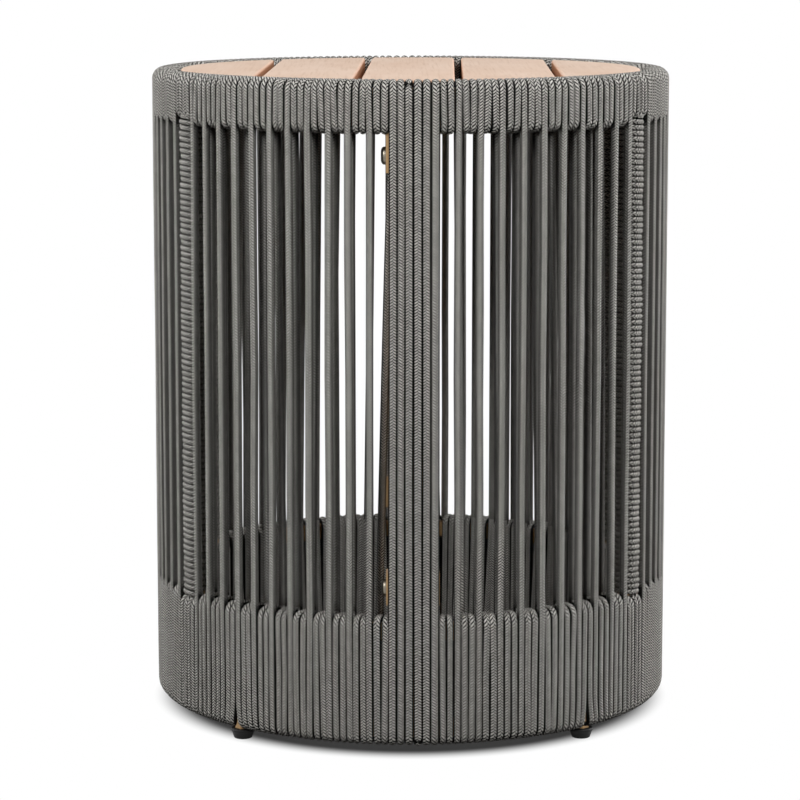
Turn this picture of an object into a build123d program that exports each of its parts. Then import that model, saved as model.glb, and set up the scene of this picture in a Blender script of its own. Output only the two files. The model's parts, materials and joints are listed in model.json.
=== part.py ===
from build123d import *
import math
import os

# A round outdoor side table: a drum of cord wound on two half frames that are
# bolted together at a front and a rear seam, with a slatted wooden top set
# inside the wound rim and four screw-in levelling feet.
# Millimetres, +Z up, the floor at Z = 0, the front seam at -Y, left is -X.

# Overall sizes
overall_height = 496.0
outer_radius = 200.0
ground_gap = 8.0
base_band_height = 97.0

# Cord and the way it lies
cord_diameter = 6.0
cord_gap = 0.3
groove_depth = 1.6
edge_ease = 4.0
close_panel_strands = 11
open_panel_strands = 10
side_strands = 13
cords_in_group = 3
cords_at_post = 2
wrap_start_gap = 3.4
seam_cords = 3
seam_cord_pitch = 6.1
seam_cord_offset = 3.2
whipping_pitch = 5.2
channel_sides = 16
inside_facets = 20
parted_slot_width = 13.0
parted_slot_height = 24.0

# Metal half frames
rail_thickness = 8.0
top_rail_height = 27.0
base_rail_height = 12.0
end_post_width = 17.0
end_post_depth = 14.0
bolt_pad_thickness = 2.5
bolt_pad_reach = 12.0
side_post_width = 8.0
side_post_azimuth = 59.0
tab_thickness = 4.0
tab_width = 10.0
tab_reach = 47.7
tab_screw_inset = 12.0

# Wooden top
top_clearance = 1.5
top_recess = 1.0
outer_slat_trim = 4.1
slat_space = 6.0
slat_thickness = 15.0
slat_edge_ease = 2.0
batten_width = 36.0
batten_end_gap = 6.25

# Bolts at the seams, screws of the top
bolt_diameter = 6.0
bolt_length = 34.0
bolt_head_diameter = 13.0
bolt_head_height = 3.6
bolt_head_edge = 1.4
bolt_dome_angle = 55.0
bolt_sides = 12
bolt_hole_clearance = 0.2
upper_bolt_drop = 55.0
lower_bolt_rise = 20.0
insert_diameter = 10.0
insert_length = 15.0
insert_clearance = 0.1
screw_diameter = 4.0
screw_head_diameter = 8.0
screw_head_height = 2.4
screw_clearance = 0.2
screw_sides = 6
slat_screw_inset = 10.0
slat_screw_bite = 10.0
tab_screw_bite = 12.0
pilot_end_gap = 0.5

# Levelling feet
foot_azimuth = 42.0
foot_top_diameter = 18.0
foot_bottom_diameter = 14.0
foot_lip_height = 2.0
foot_sides = 16
foot_head_gap = 0.3
boss_diameter = 12.0
stud_diameter = 5.0
stud_clearance = 0.1
stud_socket_floor = 2.5
stud_rise = 10.0
stud_end_gap = 0.5

# Radii of the wound bands, from the outside in
cord_layer = cord_diameter + cord_gap
rail_outer = outer_radius - cord_layer
rail_inner = rail_outer - rail_thickness
rail_middle = (rail_outer + rail_inner) / 2
band_inner = rail_inner - cord_layer
outer_strand_radius = outer_radius - cord_diameter / 2
inner_strand_radius = band_inner + cord_diameter / 2
beyond = outer_radius + cord_diameter
tab_inner_radius = rail_inner - tab_reach
tab_screw_radius = tab_inner_radius + tab_screw_inset

# Heights, from the rim down
top_rail_top = overall_height - cord_layer
top_rail_bottom = top_rail_top - top_rail_height
rim_bottom = top_rail_bottom - cord_layer
base_top = ground_gap + base_band_height
mid_rail_top = base_top - cord_layer
mid_rail_bottom = mid_rail_top - base_rail_height
bottom_rail_bottom = ground_gap + cord_layer
bottom_rail_top = bottom_rail_bottom + base_rail_height
tab_bottom = top_rail_bottom - tab_thickness
slat_top = overall_height - top_recess
slat_bottom = slat_top - slat_thickness
top_radius = band_inner - top_clearance
foot_top = ground_gap - foot_head_gap

# End posts and their bolt pads stand just inside the outer curve of the rails
bolt_seat = end_post_width + bolt_pad_thickness
post_outer_face = math.sqrt(rail_outer**2 - bolt_seat**2)
post_inner_face = post_outer_face - end_post_depth
post_middle = (post_outer_face + post_inner_face) / 2
bolt_heights = [overall_height - upper_bolt_drop, base_top + lower_bolt_rise]

# Whipping round a side post
whipping_width = side_post_width + 2 * cord_layer
whipping_depth = rail_thickness + 2 * cord_layer
notch_width = whipping_width + 2 * cord_gap

# The battens lie over the screws of the support tabs and stop short of the rim
batten_middle = tab_screw_radius * math.cos(math.radians(side_post_azimuth))
batten_edge = batten_middle + batten_width / 2
batten_length = 2 * (math.sqrt(top_radius**2 - batten_edge**2) - batten_end_gap)

SIDES = {"left": -1, "right": 1}
ENDS = ("front", "rear")

# The halves are alike and one is turned round, so their end panels change places
END_PANEL_STRANDS = {
    "left": (close_panel_strands, open_panel_strands),
    "right": (open_panel_strands, close_panel_strands),
}

# The outermost slats are narrower than the rest by the trim
SLATS = ("far_left_slat", "left_slat", "centre_slat", "right_slat", "far_right_slat")
slat_width = (2 * (top_radius + outer_slat_trim) - (len(SLATS) - 1) * slat_space) / len(SLATS)

os.makedirs("parts", exist_ok=True)


def save(name, solids):
    """Write one node: a single solid, or a list of like solids."""
    shape = Compound(children=list(solids)) if isinstance(solids, list) else solids
    export_step(shape, f"parts/{name}.step")


def spread(first, last, count):
    """Evenly spaced values from first to last, both included."""
    return [first + (last - first) * step / (count - 1) for step in range(count)]


def polar(radius, azimuth, height):
    """A point at an azimuth from the front, positive towards +X."""
    angle = math.radians(azimuth)
    return (radius * math.sin(angle), -radius * math.cos(angle), height)


def at_azimuth(azimuth, shape):
    """Turn a shape that was made at the front round the table's axis."""
    return Rot(0, 0, azimuth) * shape


def front_box(width, near, far, low, high):
    """A box across the front, between two distances from the axis."""
    return Pos(0, -(near + far) / 2, (low + high) / 2) * Box(width, far - near, high - low)


def azimuth_of(end, side, azimuth):
    """The azimuth of one of four places that are alike at front and rear, left and right."""
    return SIDES[side] * (azimuth if end == "front" else 180 - azimuth)


# Metal frame

def half_rail(side, low, high, start):
    """A flat bar bent to a half ring, cut square at a distance from the seam."""
    ring = extrude(Circle(rail_outer) - Circle(rail_inner), high - low)
    reach = 2 * outer_radius
    keep = Pos(SIDES[side] * (start + reach / 2), 0, 0) * Box(reach, 2 * reach, 2 * reach)
    return Pos(0, 0, low) * (ring & keep)


def foot_bore(azimuth):
    """The bore for a foot's stud, through the boss and up into the bottom rail."""
    top = foot_top + stud_rise + stud_end_gap
    bore = extrude(RegularPolygon(stud_diameter / 2 + stud_clearance, foot_sides), top)
    return Pos(*polar(rail_middle, azimuth, 0)) * bore


def end_post(end, side):
    """A post at a seam with a pad at each joining bolt, bored for the bolts or for their threaded inserts."""
    sign = -1 if end == "front" else 1
    middle_x = SIDES[side] * end_post_width / 2
    height = top_rail_bottom - bottom_rail_top
    centre = (middle_x, sign * post_middle, (top_rail_bottom + bottom_rail_top) / 2)
    post = Pos(*centre) * Box(end_post_width, end_post_depth, height)
    pad_x = SIDES[side] * bolt_seat / 2
    pad_heights = [(bolt_heights[0] - bolt_pad_reach, top_rail_bottom)]
    pad_heights.append((bolt_heights[1] - bolt_pad_reach, bolt_heights[1] + bolt_pad_reach))
    for low, high in pad_heights:
        pad = Box(bolt_seat, end_post_depth, high - low)
        post += Pos(pad_x, sign * post_middle, (low + high) / 2) * pad
    for level in bolt_heights:
        bore = bolt_bore() if side == "left" else insert_seat(insert_clearance)
        post -= Pos(0, sign * post_middle, level) * bore
    return post


def side_post(azimuth):
    """A slim post between the mid rail and the support tab under the top rail."""
    return at_azimuth(azimuth, front_box(side_post_width, rail_inner, rail_outer, mid_rail_top, tab_bottom))


def stub_post(azimuth):
    """A short post between the bottom rail and the mid rail."""
    stub = front_box(side_post_width, rail_inner, rail_outer, bottom_rail_top, mid_rail_bottom)
    return at_azimuth(azimuth, stub)


def support_tab(azimuth):
    """A flat tab on top of a side post that reaches in to carry a batten."""
    tab = front_box(tab_width, tab_inner_radius, rail_outer, tab_bottom, top_rail_bottom)
    tab -= pilot(0, -tab_screw_radius, tab_bottom, tab_thickness)
    return at_azimuth(azimuth, tab)


def foot_boss(azimuth):
    """A threaded boss under the bottom rail."""
    height = bottom_rail_bottom - foot_top
    boss = extrude(RegularPolygon(boss_diameter / 2, 6), height)
    return at_azimuth(azimuth, Pos(0, -rail_middle, foot_top) * boss) - foot_bore(azimuth)


def build_frame():
    """The rails, posts, tabs and bosses of the two half frames."""
    for side in SIDES:
        posts = [azimuth_of(end, side, side_post_azimuth) for end in ENDS]
        feet = [azimuth_of(end, side, foot_azimuth) for end in ENDS]
        save(f"{side}_top_rail", half_rail(side, top_rail_bottom, top_rail_top, 0))
        save(f"{side}_mid_rail", half_rail(side, mid_rail_bottom, mid_rail_top, end_post_width))
        bottom_rail = half_rail(side, bottom_rail_bottom, bottom_rail_top, 0)
        for azimuth in feet:
            bottom_rail -= foot_bore(azimuth)
        save(f"{side}_bottom_rail", bottom_rail)
        save(f"{side}_stub_posts", [stub_post(azimuth) for azimuth in posts])
        save(f"{side}_support_tabs", [support_tab(azimuth) for azimuth in posts])
        save(f"{side}_foot_bosses", [foot_boss(azimuth) for azimuth in feet])
        for end in ENDS:
            save(f"{end}_{side}_end_post", end_post(end, side))
            save(f"{end}_{side}_side_post", side_post(azimuth_of(end, side, side_post_azimuth)))


# Bolts and screws

def joining_bolt(sign, level):
    """A domed bolt whose head sits on the left post and whose shank ends in the right one."""
    dome_height = bolt_head_height - bolt_head_edge
    head = RegularPolygon(bolt_head_diameter / 2, bolt_sides)
    dome = Pos(0, 0, bolt_head_edge) * extrude(head, dome_height, taper=bolt_dome_angle)
    shank = extrude(RegularPolygon(bolt_diameter / 2, bolt_sides), -bolt_length)
    bolt = extrude(head, bolt_head_edge) + dome + shank
    return Pos(-bolt_seat, sign * post_middle, level) * (Rot(0, -90, 0) * bolt)


def insert_seat(clearance):
    """The six-sided form of a threaded insert, along +X from the seam."""
    return Rot(0, 90, 0) * extrude(RegularPolygon(insert_diameter / 2 + clearance, 6), insert_length)


def bolt_bore():
    """The bore for a bolt's shank, along X across the seam."""
    section = RegularPolygon(bolt_diameter / 2 + bolt_hole_clearance, bolt_sides)
    return Rot(0, 90, 0) * extrude(section, 2 * end_post_width, both=True)


def threaded_insert(sign, level):
    """A threaded insert in the right post that takes the end of a bolt."""
    return Pos(0, sign * post_middle, level) * (insert_seat(0) - bolt_bore())


def screw_prism(diameter, length):
    """A short prism with few sides that stands for the round of a small screw or of its bore."""
    return extrude(RegularPolygon(diameter / 2, screw_sides), length)


def screw_upwards(x, y, seat, length):
    """A pan-head screw driven upwards, with its head against a seat."""
    head = Pos(0, 0, -screw_head_height) * screw_prism(screw_head_diameter, screw_head_height)
    return Pos(x, y, seat) * (head + screw_prism(screw_diameter, length))


def pilot(x, y, low, length):
    """The bore that a screw's shank goes into."""
    return Pos(x, y, low) * screw_prism(screw_diameter + 2 * screw_clearance, length)


def slat_screw_places(end):
    """One screw for each slat along a batten."""
    sign = -1 if end == "front" else 1
    y = sign * (batten_middle - slat_screw_inset)
    reach = batten_length / 2
    places = []
    for low, high in slat_spans():
        places.append(((max(low, -reach) + min(high, reach)) / 2, y))
    return places


def build_fasteners():
    """Joining bolts with their inserts, and the screws of the top."""
    for end in ENDS:
        sign = -1 if end == "front" else 1
        save(f"{end}_joining_bolts", [joining_bolt(sign, level) for level in bolt_heights])
        save(f"{end}_threaded_inserts", [threaded_insert(sign, level) for level in bolt_heights])
    slat_screws = []
    tab_screws = []
    for end in ENDS:
        for x, y in slat_screw_places(end):
            slat_screws.append(screw_upwards(x, y, top_rail_bottom + screw_head_height, slat_screw_length()))
        for side in SIDES:
            x, y, _ = polar(tab_screw_radius, azimuth_of(end, side, side_post_azimuth), 0)
            tab_screws.append(screw_upwards(x, y, tab_bottom, tab_thickness + tab_screw_bite))
    save("slat_screws", slat_screws)
    save("top_fixing_screws", tab_screws)


def slat_screw_length():
    """From the floor of a batten's counterbore to the screw's tip in the slat."""
    return slat_bottom - top_rail_bottom - screw_head_height + slat_screw_bite


# Wooden top

def slat_spans():
    """The two edges of each slat along X, from left to right."""
    pitch = slat_width + slat_space
    inner = [(step * pitch - slat_width / 2, step * pitch + slat_width / 2) for step in (-1, 0, 1)]
    edge = 1.5 * pitch + slat_space / 2
    return [(-beyond, -edge)] + inner + [(edge, beyond)]


def slat(low, high, index):
    """A slat cut to the round of the top, eased along its upper edges, with pilot bores below."""
    disc = extrude(Circle(top_radius), slat_thickness)
    strip = Pos((low + high) / 2, 0, 0) * Box(high - low, 2 * beyond, 4 * slat_thickness)
    board = Pos(0, 0, slat_bottom) * (disc & strip)
    board = chamfer(board.faces().sort_by(Axis.Z)[-1].edges(), slat_edge_ease)
    for end in ENDS:
        x, y = slat_screw_places(end)[index]
        board -= pilot(x, y, slat_bottom, slat_screw_bite + pilot_end_gap)
    return board


def batten(end):
    """A cross batten under the slats, counterbored for their screws and drilled for its own."""
    sign = -1 if end == "front" else 1
    height = slat_bottom - top_rail_bottom
    centre = (0, sign * batten_middle, top_rail_bottom + height / 2)
    board = Pos(*centre) * Box(batten_length, batten_width, height)
    for x, y in slat_screw_places(end):
        board -= pilot(x, y, top_rail_bottom, height)
        head = screw_prism(screw_head_diameter + 2 * screw_clearance, screw_head_height)
        board -= Pos(x, y, top_rail_bottom) * head
    for side in SIDES:
        x, y, _ = polar(tab_screw_radius, azimuth_of(end, side, side_post_azimuth), 0)
        board -= pilot(x, y, top_rail_bottom, tab_screw_bite + pilot_end_gap)
    return board


def build_top():
    """Five slats on two battens."""
    for index, (low, high) in enumerate(slat_spans()):
        save(SLATS[index], slat(low, high, index))
    for end in ENDS:
        save(f"{end}_batten", batten(end))


# Levelling feet

def foot_pad():
    """A tapered pad with a short upright lip, made at the axis with its sole at Z = 0."""
    lip = RegularPolygon(foot_top_diameter / 2, foot_sides)
    lip_low = foot_top - foot_lip_height
    draft = math.degrees(math.atan((foot_top_diameter - foot_bottom_diameter) / 2 / lip_low))
    taper = Rot(180, 0, 0) * extrude(lip, lip_low, taper=draft)
    pad = Pos(0, 0, lip_low) * (taper + extrude(lip, foot_lip_height))
    return pad - foot_stud()


def foot_stud():
    """The stud that screws up into the boss and the bottom rail."""
    height = foot_top + stud_rise - stud_socket_floor
    return Pos(0, 0, stud_socket_floor) * extrude(RegularPolygon(stud_diameter / 2, foot_sides), height)


def build_feet():
    """Four feet, each a pad on its own stud."""
    for end in ENDS:
        for side in SIDES:
            place = Pos(*polar(rail_middle, azimuth_of(end, side, foot_azimuth), 0))
            save(f"{end}_{side}_foot_pad", place * foot_pad())
            save(f"{end}_{side}_foot_stud", place * foot_stud())


# Wound cord

def wrap_limit():
    """The azimuth at which the turns begin, just clear of the end posts."""
    return math.degrees(math.asin((end_post_width + wrap_start_gap) / band_inner))


def post_zone(strands):
    """The angle that the turns over a side post take up beside an end panel of some strands."""
    width = whipping_width / 2 + cord_gap + cord_diameter / 2
    middle_cord = math.degrees(math.asin(width / outer_strand_radius))
    half_group = (side_post_azimuth - middle_cord - wrap_limit()) / (2 * strands - 1)
    return middle_cord - half_group


def panels(side):
    """First and last azimuth and number of strands of each panel of a half, front to rear."""
    front, rear = END_PANEL_STRANDS[side]
    zone = post_zone(close_panel_strands)
    rear_post = 180 - side_post_azimuth
    return [
        (wrap_limit(), side_post_azimuth - post_zone(front), front),
        (side_post_azimuth + zone, rear_post - zone, side_strands),
        (rear_post + post_zone(rear), 180 - wrap_limit(), rear),
    ]


def cord_edges(side):
    """Azimuths of the grooves between neighbouring turns, from the front to the rear of a half."""
    edges = [wrap_limit()]
    for first, last, strands in panels(side):
        if first > edges[-1]:
            edges += spread(edges[-1], first, cords_at_post + 1)[1:]
        edges += spread(first, last, cords_in_group * strands + 1)[1:]
    return edges


def band_section(side, inset, height):
    """The plan of a wound band: a rib for each turn outside, plain inside."""
    edges = cord_edges(side)
    crest = outer_radius - inset
    outside = []
    for start, end in zip(edges, edges[1:]):
        outside.append(polar(crest - groove_depth, SIDES[side] * start, height))
        outside.append(polar(crest, SIDES[side] * (start + end) / 2, height))
    outside.append(polar(crest - groove_depth, SIDES[side] * edges[-1], height))
    plain = spread(edges[-1], edges[0], inside_facets + 1)
    inside = [polar(band_inner + inset, SIDES[side] * azimuth, height) for azimuth in plain]
    return Wire.make_polygon(outside + inside, close=True)


def rail_channel(side, low, high):
    """The space inside a wound band that its rails lie in."""
    azimuths = spread(0, 180, channel_sides + 1)
    far = (rail_outer + cord_gap) / math.cos(math.radians(90 / channel_sides))
    near = rail_inner - cord_gap
    outside = [polar(far, SIDES[side] * azimuth, low) for azimuth in azimuths]
    inside = [polar(near, SIDES[side] * azimuth, low) for azimuth in reversed(azimuths)]
    return extrude(Face(Wire.make_polygon(outside + inside, close=True)), high - low, dir=(0, 0, 1))


def wound_band(side, levels, rail_low, rail_high):
    """Turns of cord round the rails, drawn in by an inset at each of some levels."""
    sections = [band_section(side, inset, height) for inset, height in levels]
    band = Solid.make_loft(sections, ruled=True)
    return band - rail_channel(side, rail_low - cord_gap, rail_high + cord_gap)


def rim_wrap(side):
    """The turns on the top rail, parted under it where the side posts and tabs come in."""
    levels = [(edge_ease, overall_height), (0, overall_height - edge_ease), (0, rim_bottom)]
    band = wound_band(side, levels, top_rail_bottom, top_rail_top)
    for end in ENDS:
        notch = front_box(notch_width, band_inner - cord_diameter, beyond, 0, top_rail_bottom)
        band -= at_azimuth(azimuth_of(end, side, side_post_azimuth), notch)
    return band


def parted_slot():
    """The opening where the turns part round a boss, drawn together above it on the outside."""
    half = parted_slot_width / 2
    height = bottom_rail_bottom + parted_slot_height
    outline = Polyline(
        (-half, 0), (half, 0), (half, bottom_rail_bottom), (0, height), (-half, bottom_rail_bottom), (-half, 0),
    )
    slot = extrude(Plane.XZ * make_face(outline), beyond - rail_middle)
    floor = front_box(parted_slot_width, rail_middle - half, rail_middle + half, 0, bottom_rail_bottom)
    return Pos(0, -rail_middle, 0) * slot + floor


def base_wrap(side):
    """The turns on the two lower rails, parted above for the side posts and below for the feet."""
    band = wound_band(side, [(0, base_top), (0, ground_gap)], bottom_rail_bottom, mid_rail_top)
    for end in ENDS:
        notch = front_box(notch_width, band_inner - cord_diameter, beyond, mid_rail_top, overall_height)
        band -= at_azimuth(azimuth_of(end, side, side_post_azimuth), notch)
        band -= at_azimuth(azimuth_of(end, side, foot_azimuth), parted_slot())
    return band


def strand(radius, azimuth, sides):
    """A cord stretched upright between the two bands, with a corner to the outside."""
    section = RegularPolygon(cord_diameter / 2, sides, rotation=90)
    length = rim_bottom - base_top
    return at_azimuth(azimuth, Pos(0, -radius, base_top) * extrude(section, length))


def strand_azimuths(side):
    """Azimuths of the outer strands of each panel: the middle cord of every group."""
    rows = []
    for first, last, strands in panels(side):
        half_group = (last - first) / (2 * strands)
        places = spread(first + half_group, last - half_group, strands)
        rows.append([SIDES[side] * azimuth for azimuth in places])
    return rows


def outer_strands(side):
    """The outer strands of a half."""
    return [strand(outer_strand_radius, azimuth, 6) for row in strand_azimuths(side) for azimuth in row]


def inner_strands(side):
    """The inner strands of a half, one behind each space between two outer strands."""
    solids = []
    for row in strand_azimuths(side):
        for start, end in zip(row, row[1:]):
            solids.append(strand(inner_strand_radius, (start + end) / 2, 4))
    return solids


def whipping(azimuth):
    """Close turns round a side post, from the mid rail to the support tab."""
    low = mid_rail_top + cord_gap
    high = tab_bottom - cord_gap
    turns = round((high - low) / whipping_pitch)
    heights = spread(low, high, 2 * turns + 1)
    across = Plane.XZ * whipping_outline(whipping_width, heights)
    along = Plane.YZ * whipping_outline(whipping_depth, heights)
    wound = extrude(across, whipping_depth, both=True) & extrude(along, whipping_width, both=True)
    core_width = side_post_width + 2 * cord_gap
    core = front_box(core_width, rail_inner - cord_gap, rail_outer + cord_gap, 0, overall_height)
    return at_azimuth(azimuth, Pos(0, -rail_middle, 0) * wound - core)


def whipping_outline(width, heights):
    """The outline of stacked turns, in at each groove and out at each crest."""
    half = [width / 2 - (0 if index % 2 else groove_depth) for index in range(len(heights))]
    right = list(zip(half, heights))
    left = [(-reach, height) for reach, height in reversed(right)]
    return make_face(Polyline(*right, *left, close=True))


def seam_cord(x, sign):
    """A full-height cord over an end post, turned in over the top rail and under the bottom rail."""
    reach = seam_cord_offset + (seam_cords - 1) * seam_cord_pitch + cord_diameter / 2
    near = rail_outer + cord_gap
    far = near + cord_diameter
    inner_far = math.sqrt(rail_inner**2 - reach**2) - cord_gap
    inner_near = inner_far - cord_diameter
    low = bottom_rail_bottom - cord_gap
    high = top_rail_top + cord_gap
    bend = cord_diameter / 2
    outline = Polyline(
        (inner_near, top_rail_bottom + cord_gap), (inner_near, overall_height - bend),
        (inner_near + bend, overall_height), (far - bend, overall_height), (far, overall_height - bend),
        (far, ground_gap + bend), (far - bend, ground_gap), (inner_near + bend, ground_gap),
        (inner_near, ground_gap + bend), (inner_near, bottom_rail_top - cord_gap),
        (inner_far, bottom_rail_top - cord_gap), (inner_far, low), (near, low), (near, high),
        (inner_far, high), (inner_far, top_rail_bottom + cord_gap), (inner_near, top_rail_bottom + cord_gap),
    )
    cord = extrude(Plane.YZ * make_face(outline), cord_diameter / 2, both=True)
    outer_edges = cord.edges().filter_by(Axis.Z).group_by(Axis.Y)[-1]
    cord = chamfer(outer_edges, cord_diameter / 4)
    return Pos(x, 0, 0) * (cord if sign > 0 else Rot(0, 0, 180) * cord)


def build_cord():
    """Wound bands, strands, whippings and seam cords."""
    for side in SIDES:
        save(f"{side}_rim_wrap", rim_wrap(side))
        save(f"{side}_base_wrap", base_wrap(side))
        save(f"{side}_outer_strands", outer_strands(side))
        save(f"{side}_inner_strands", inner_strands(side))
        for end in ENDS:
            save(f"{end}_{side}_whipping", whipping(azimuth_of(end, side, side_post_azimuth)))
    for end in ENDS:
        sign = -1 if end == "front" else 1
        offsets = [seam_cord_offset + step * seam_cord_pitch for step in range(seam_cords)]
        save(f"{end}_seam_cords", [seam_cord(side * x, sign) for side in SIDES.values() for x in offsets])


build_frame()
build_fasteners()
build_top()
build_feet()
build_cord()
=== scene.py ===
"""Looks of a round outdoor side table: wound cord, teak slats, a coated frame and levelling feet.

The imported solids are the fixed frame. Everything wound is laid here as real lengths of braided cord: turns
round the two bands, strands between them, whippings round the side posts and the upright cords of the seams.
Metres, +Z up, the floor at Z = 0, the front seam at -Y, left is -X. An azimuth is measured at the axis from
the front seam, so a point at azimuth a and radius r is (r sin a, -r cos a).
"""

import json
import logging
import math
from dataclasses import dataclass, field
from enum import Enum
from typing import Any, Optional, Sequence, Union

import bpy
import numpy as np
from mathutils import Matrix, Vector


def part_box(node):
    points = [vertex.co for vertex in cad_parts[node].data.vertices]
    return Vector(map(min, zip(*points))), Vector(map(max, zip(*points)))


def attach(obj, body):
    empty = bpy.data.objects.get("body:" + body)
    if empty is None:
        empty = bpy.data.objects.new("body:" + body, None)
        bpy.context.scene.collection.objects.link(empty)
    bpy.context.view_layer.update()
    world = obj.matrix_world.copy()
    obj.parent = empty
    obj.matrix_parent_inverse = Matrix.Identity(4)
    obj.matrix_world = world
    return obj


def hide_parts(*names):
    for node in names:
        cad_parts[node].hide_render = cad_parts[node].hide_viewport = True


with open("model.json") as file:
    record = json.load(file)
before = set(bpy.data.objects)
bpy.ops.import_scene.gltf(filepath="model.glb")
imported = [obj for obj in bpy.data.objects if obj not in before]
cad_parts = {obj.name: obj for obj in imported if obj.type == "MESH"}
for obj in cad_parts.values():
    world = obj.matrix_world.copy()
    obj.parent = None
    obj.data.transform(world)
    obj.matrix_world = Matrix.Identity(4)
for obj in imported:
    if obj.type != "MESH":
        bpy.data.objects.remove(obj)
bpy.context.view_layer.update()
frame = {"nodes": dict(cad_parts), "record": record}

LOG = logging.getLogger("side_table")
MM = 0.001
FULL_TURN = 2 * math.pi
BRAID_UV = "braid"
TABLE_BODY = "table"
FRONT_BACK = ("front", "rear")

Pair = tuple[float, float]
Triple = tuple[float, float, float]
Colour = tuple[float, float, float, float]
WHITE: Colour = (1.0, 1.0, 1.0, 1.0)


def srgb(red: int, green: int, blue: int) -> Colour:
    """A screen colour of 0 to 255 as the linear colour that a shader takes, by the sRGB curve."""
    parts = np.array([red, green, blue]) / 255.0
    linear = np.where(parts <= 0.04045, parts / 12.92, ((parts + 0.055) / 1.055) ** 2.4)
    return (float(linear[0]), float(linear[1]), float(linear[2]), 1.0)


class Half(Enum):
    """The two half drums. They differ by chance only, and the left one is turned half round."""

    LEFT = "left"
    RIGHT = "right"


# Seeds of chance, by half and by end of the table
WINDING_SEEDS = {Half.LEFT: 97, Half.RIGHT: 41}
SEAM_SEEDS = {"front": 5, "rear": 6}
WHIPPING_SEED = 1000


# Meshes

def full_turn(steps: int) -> np.ndarray:
    """Even angles of a full turn, without its end."""
    return np.linspace(0.0, FULL_TURN, steps, endpoint=False)


def quarter_turn(steps: int) -> np.ndarray:
    """Even angles of a quarter turn, with both ends."""
    return np.linspace(0.0, FULL_TURN / 4, steps)


def new_object(name: str, data: bpy.types.ID) -> bpy.types.Object:
    """A linked object at the origin that shows a mesh, a lamp or a camera."""
    made = bpy.data.objects.new(name, data)
    bpy.context.scene.collection.objects.link(made)
    return made


@dataclass
class Skin:
    """One mesh as whole arrays.

    Args:
        points: corner points, one row each.
        corners: point numbers of all faces, one face after another.
        sizes: number of corners of each face.
        uv: one pair for each entry of corners.
    """

    points: np.ndarray
    corners: np.ndarray
    sizes: np.ndarray
    uv: np.ndarray

    @classmethod
    def of_faces(cls, points: np.ndarray, quads: np.ndarray, caps: np.ndarray, uv: np.ndarray) -> "Skin":
        """A skin of quads and of end faces, both with one row of point numbers for each face."""
        sizes = np.concatenate([np.full(len(quads), 4), np.full(len(caps), caps.shape[1])])
        return cls(points, np.concatenate([quads.ravel(), caps.ravel()]), sizes, uv)

    @classmethod
    def joined(cls, skins: Sequence["Skin"]) -> "Skin":
        """Several skins as one, with the point numbers moved up."""
        shifts = np.cumsum([0] + [len(skin.points) for skin in skins[:-1]])
        return cls(
            np.concatenate([skin.points for skin in skins]),
            np.concatenate([skin.corners + shift for skin, shift in zip(skins, shifts)]),
            np.concatenate([skin.sizes for skin in skins]),
            np.concatenate([skin.uv for skin in skins]),
        )

    def turned_half_round(self) -> "Skin":
        """The skin turned half round the table's axis: (x, y) becomes (-x, -y)."""
        return Skin(self.points * np.array([-1.0, -1.0, 1.0]), self.corners, self.sizes, self.uv)

    def to_object(self, name: str, crisp: Optional[float] = None) -> bpy.types.Object:
        """A linked object at the origin with this mesh, shaded smooth.

        Args:
            name: the name of the object and its mesh.
            crisp: where two faces meet at more than this angle, in degrees, their edge stays sharp.

        Returns:
            The object.
        """
        mesh = bpy.data.meshes.new(name)
        mesh.vertices.add(len(self.points))
        mesh.vertices.foreach_set("co", self.points.astype(np.float32).ravel())
        mesh.loops.add(len(self.corners))
        mesh.loops.foreach_set("vertex_index", self.corners.astype(np.int32))
        mesh.polygons.add(len(self.sizes))
        starts = np.concatenate([[0], np.cumsum(self.sizes)[:-1]])
        mesh.polygons.foreach_set("loop_start", starts.astype(np.int32))
        layer = mesh.uv_layers.new(name=BRAID_UV)
        layer.uv.foreach_set("vector", self.uv.astype(np.float32).ravel())
        mesh.polygons.foreach_set("use_smooth", np.ones(len(self.sizes), dtype=bool))
        mesh.update(calc_edges=True)
        mesh.validate()
        made = new_object(name, mesh)
        if crisp is not None:
            with bpy.context.temp_override(active_object=made, object=made, selected_editable_objects=[made]):
                bpy.ops.object.shade_smooth_by_angle(angle=math.radians(crisp))
        return made


def tube_faces(count: int, rings: int, sides: int, closed: bool) -> tuple[np.ndarray, np.ndarray]:
    """Quads of some tubes of rings of points, each quad running round first and then along.

    Args:
        count: number of tubes.
        rings: rings of each tube.
        sides: points of each ring.
        closed: whether the last ring joins the first.

    Returns:
        Point numbers with one row for each quad, and the (side, ring, tube) steps of its corners.
    """
    spans = rings if closed else rings - 1
    tube, ring, side = np.meshgrid(np.arange(count), np.arange(spans), np.arange(sides), indexing="ij")
    round_steps = np.stack([side, side + 1, side + 1, side], -1).reshape(-1, 4)
    along_steps = np.stack([ring, ring, ring + 1, ring + 1], -1).reshape(-1, 4)
    tubes = np.repeat(tube.reshape(-1, 1), 4, axis=1)
    numbers = (tubes * rings + along_steps % rings) * sides + round_steps % sides
    return numbers, np.stack([round_steps, along_steps, tubes], -1)


def end_caps(count: int, rings: int, sides: int) -> np.ndarray:
    """Faces that close some tubes, one row each: those of all first rings, then those of all last rings."""
    start = (np.arange(count) * rings * sides)[:, None]
    first = start + np.arange(sides)[::-1]
    last = start + (rings - 1) * sides + np.arange(sides)
    return np.concatenate([first, last])


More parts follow.
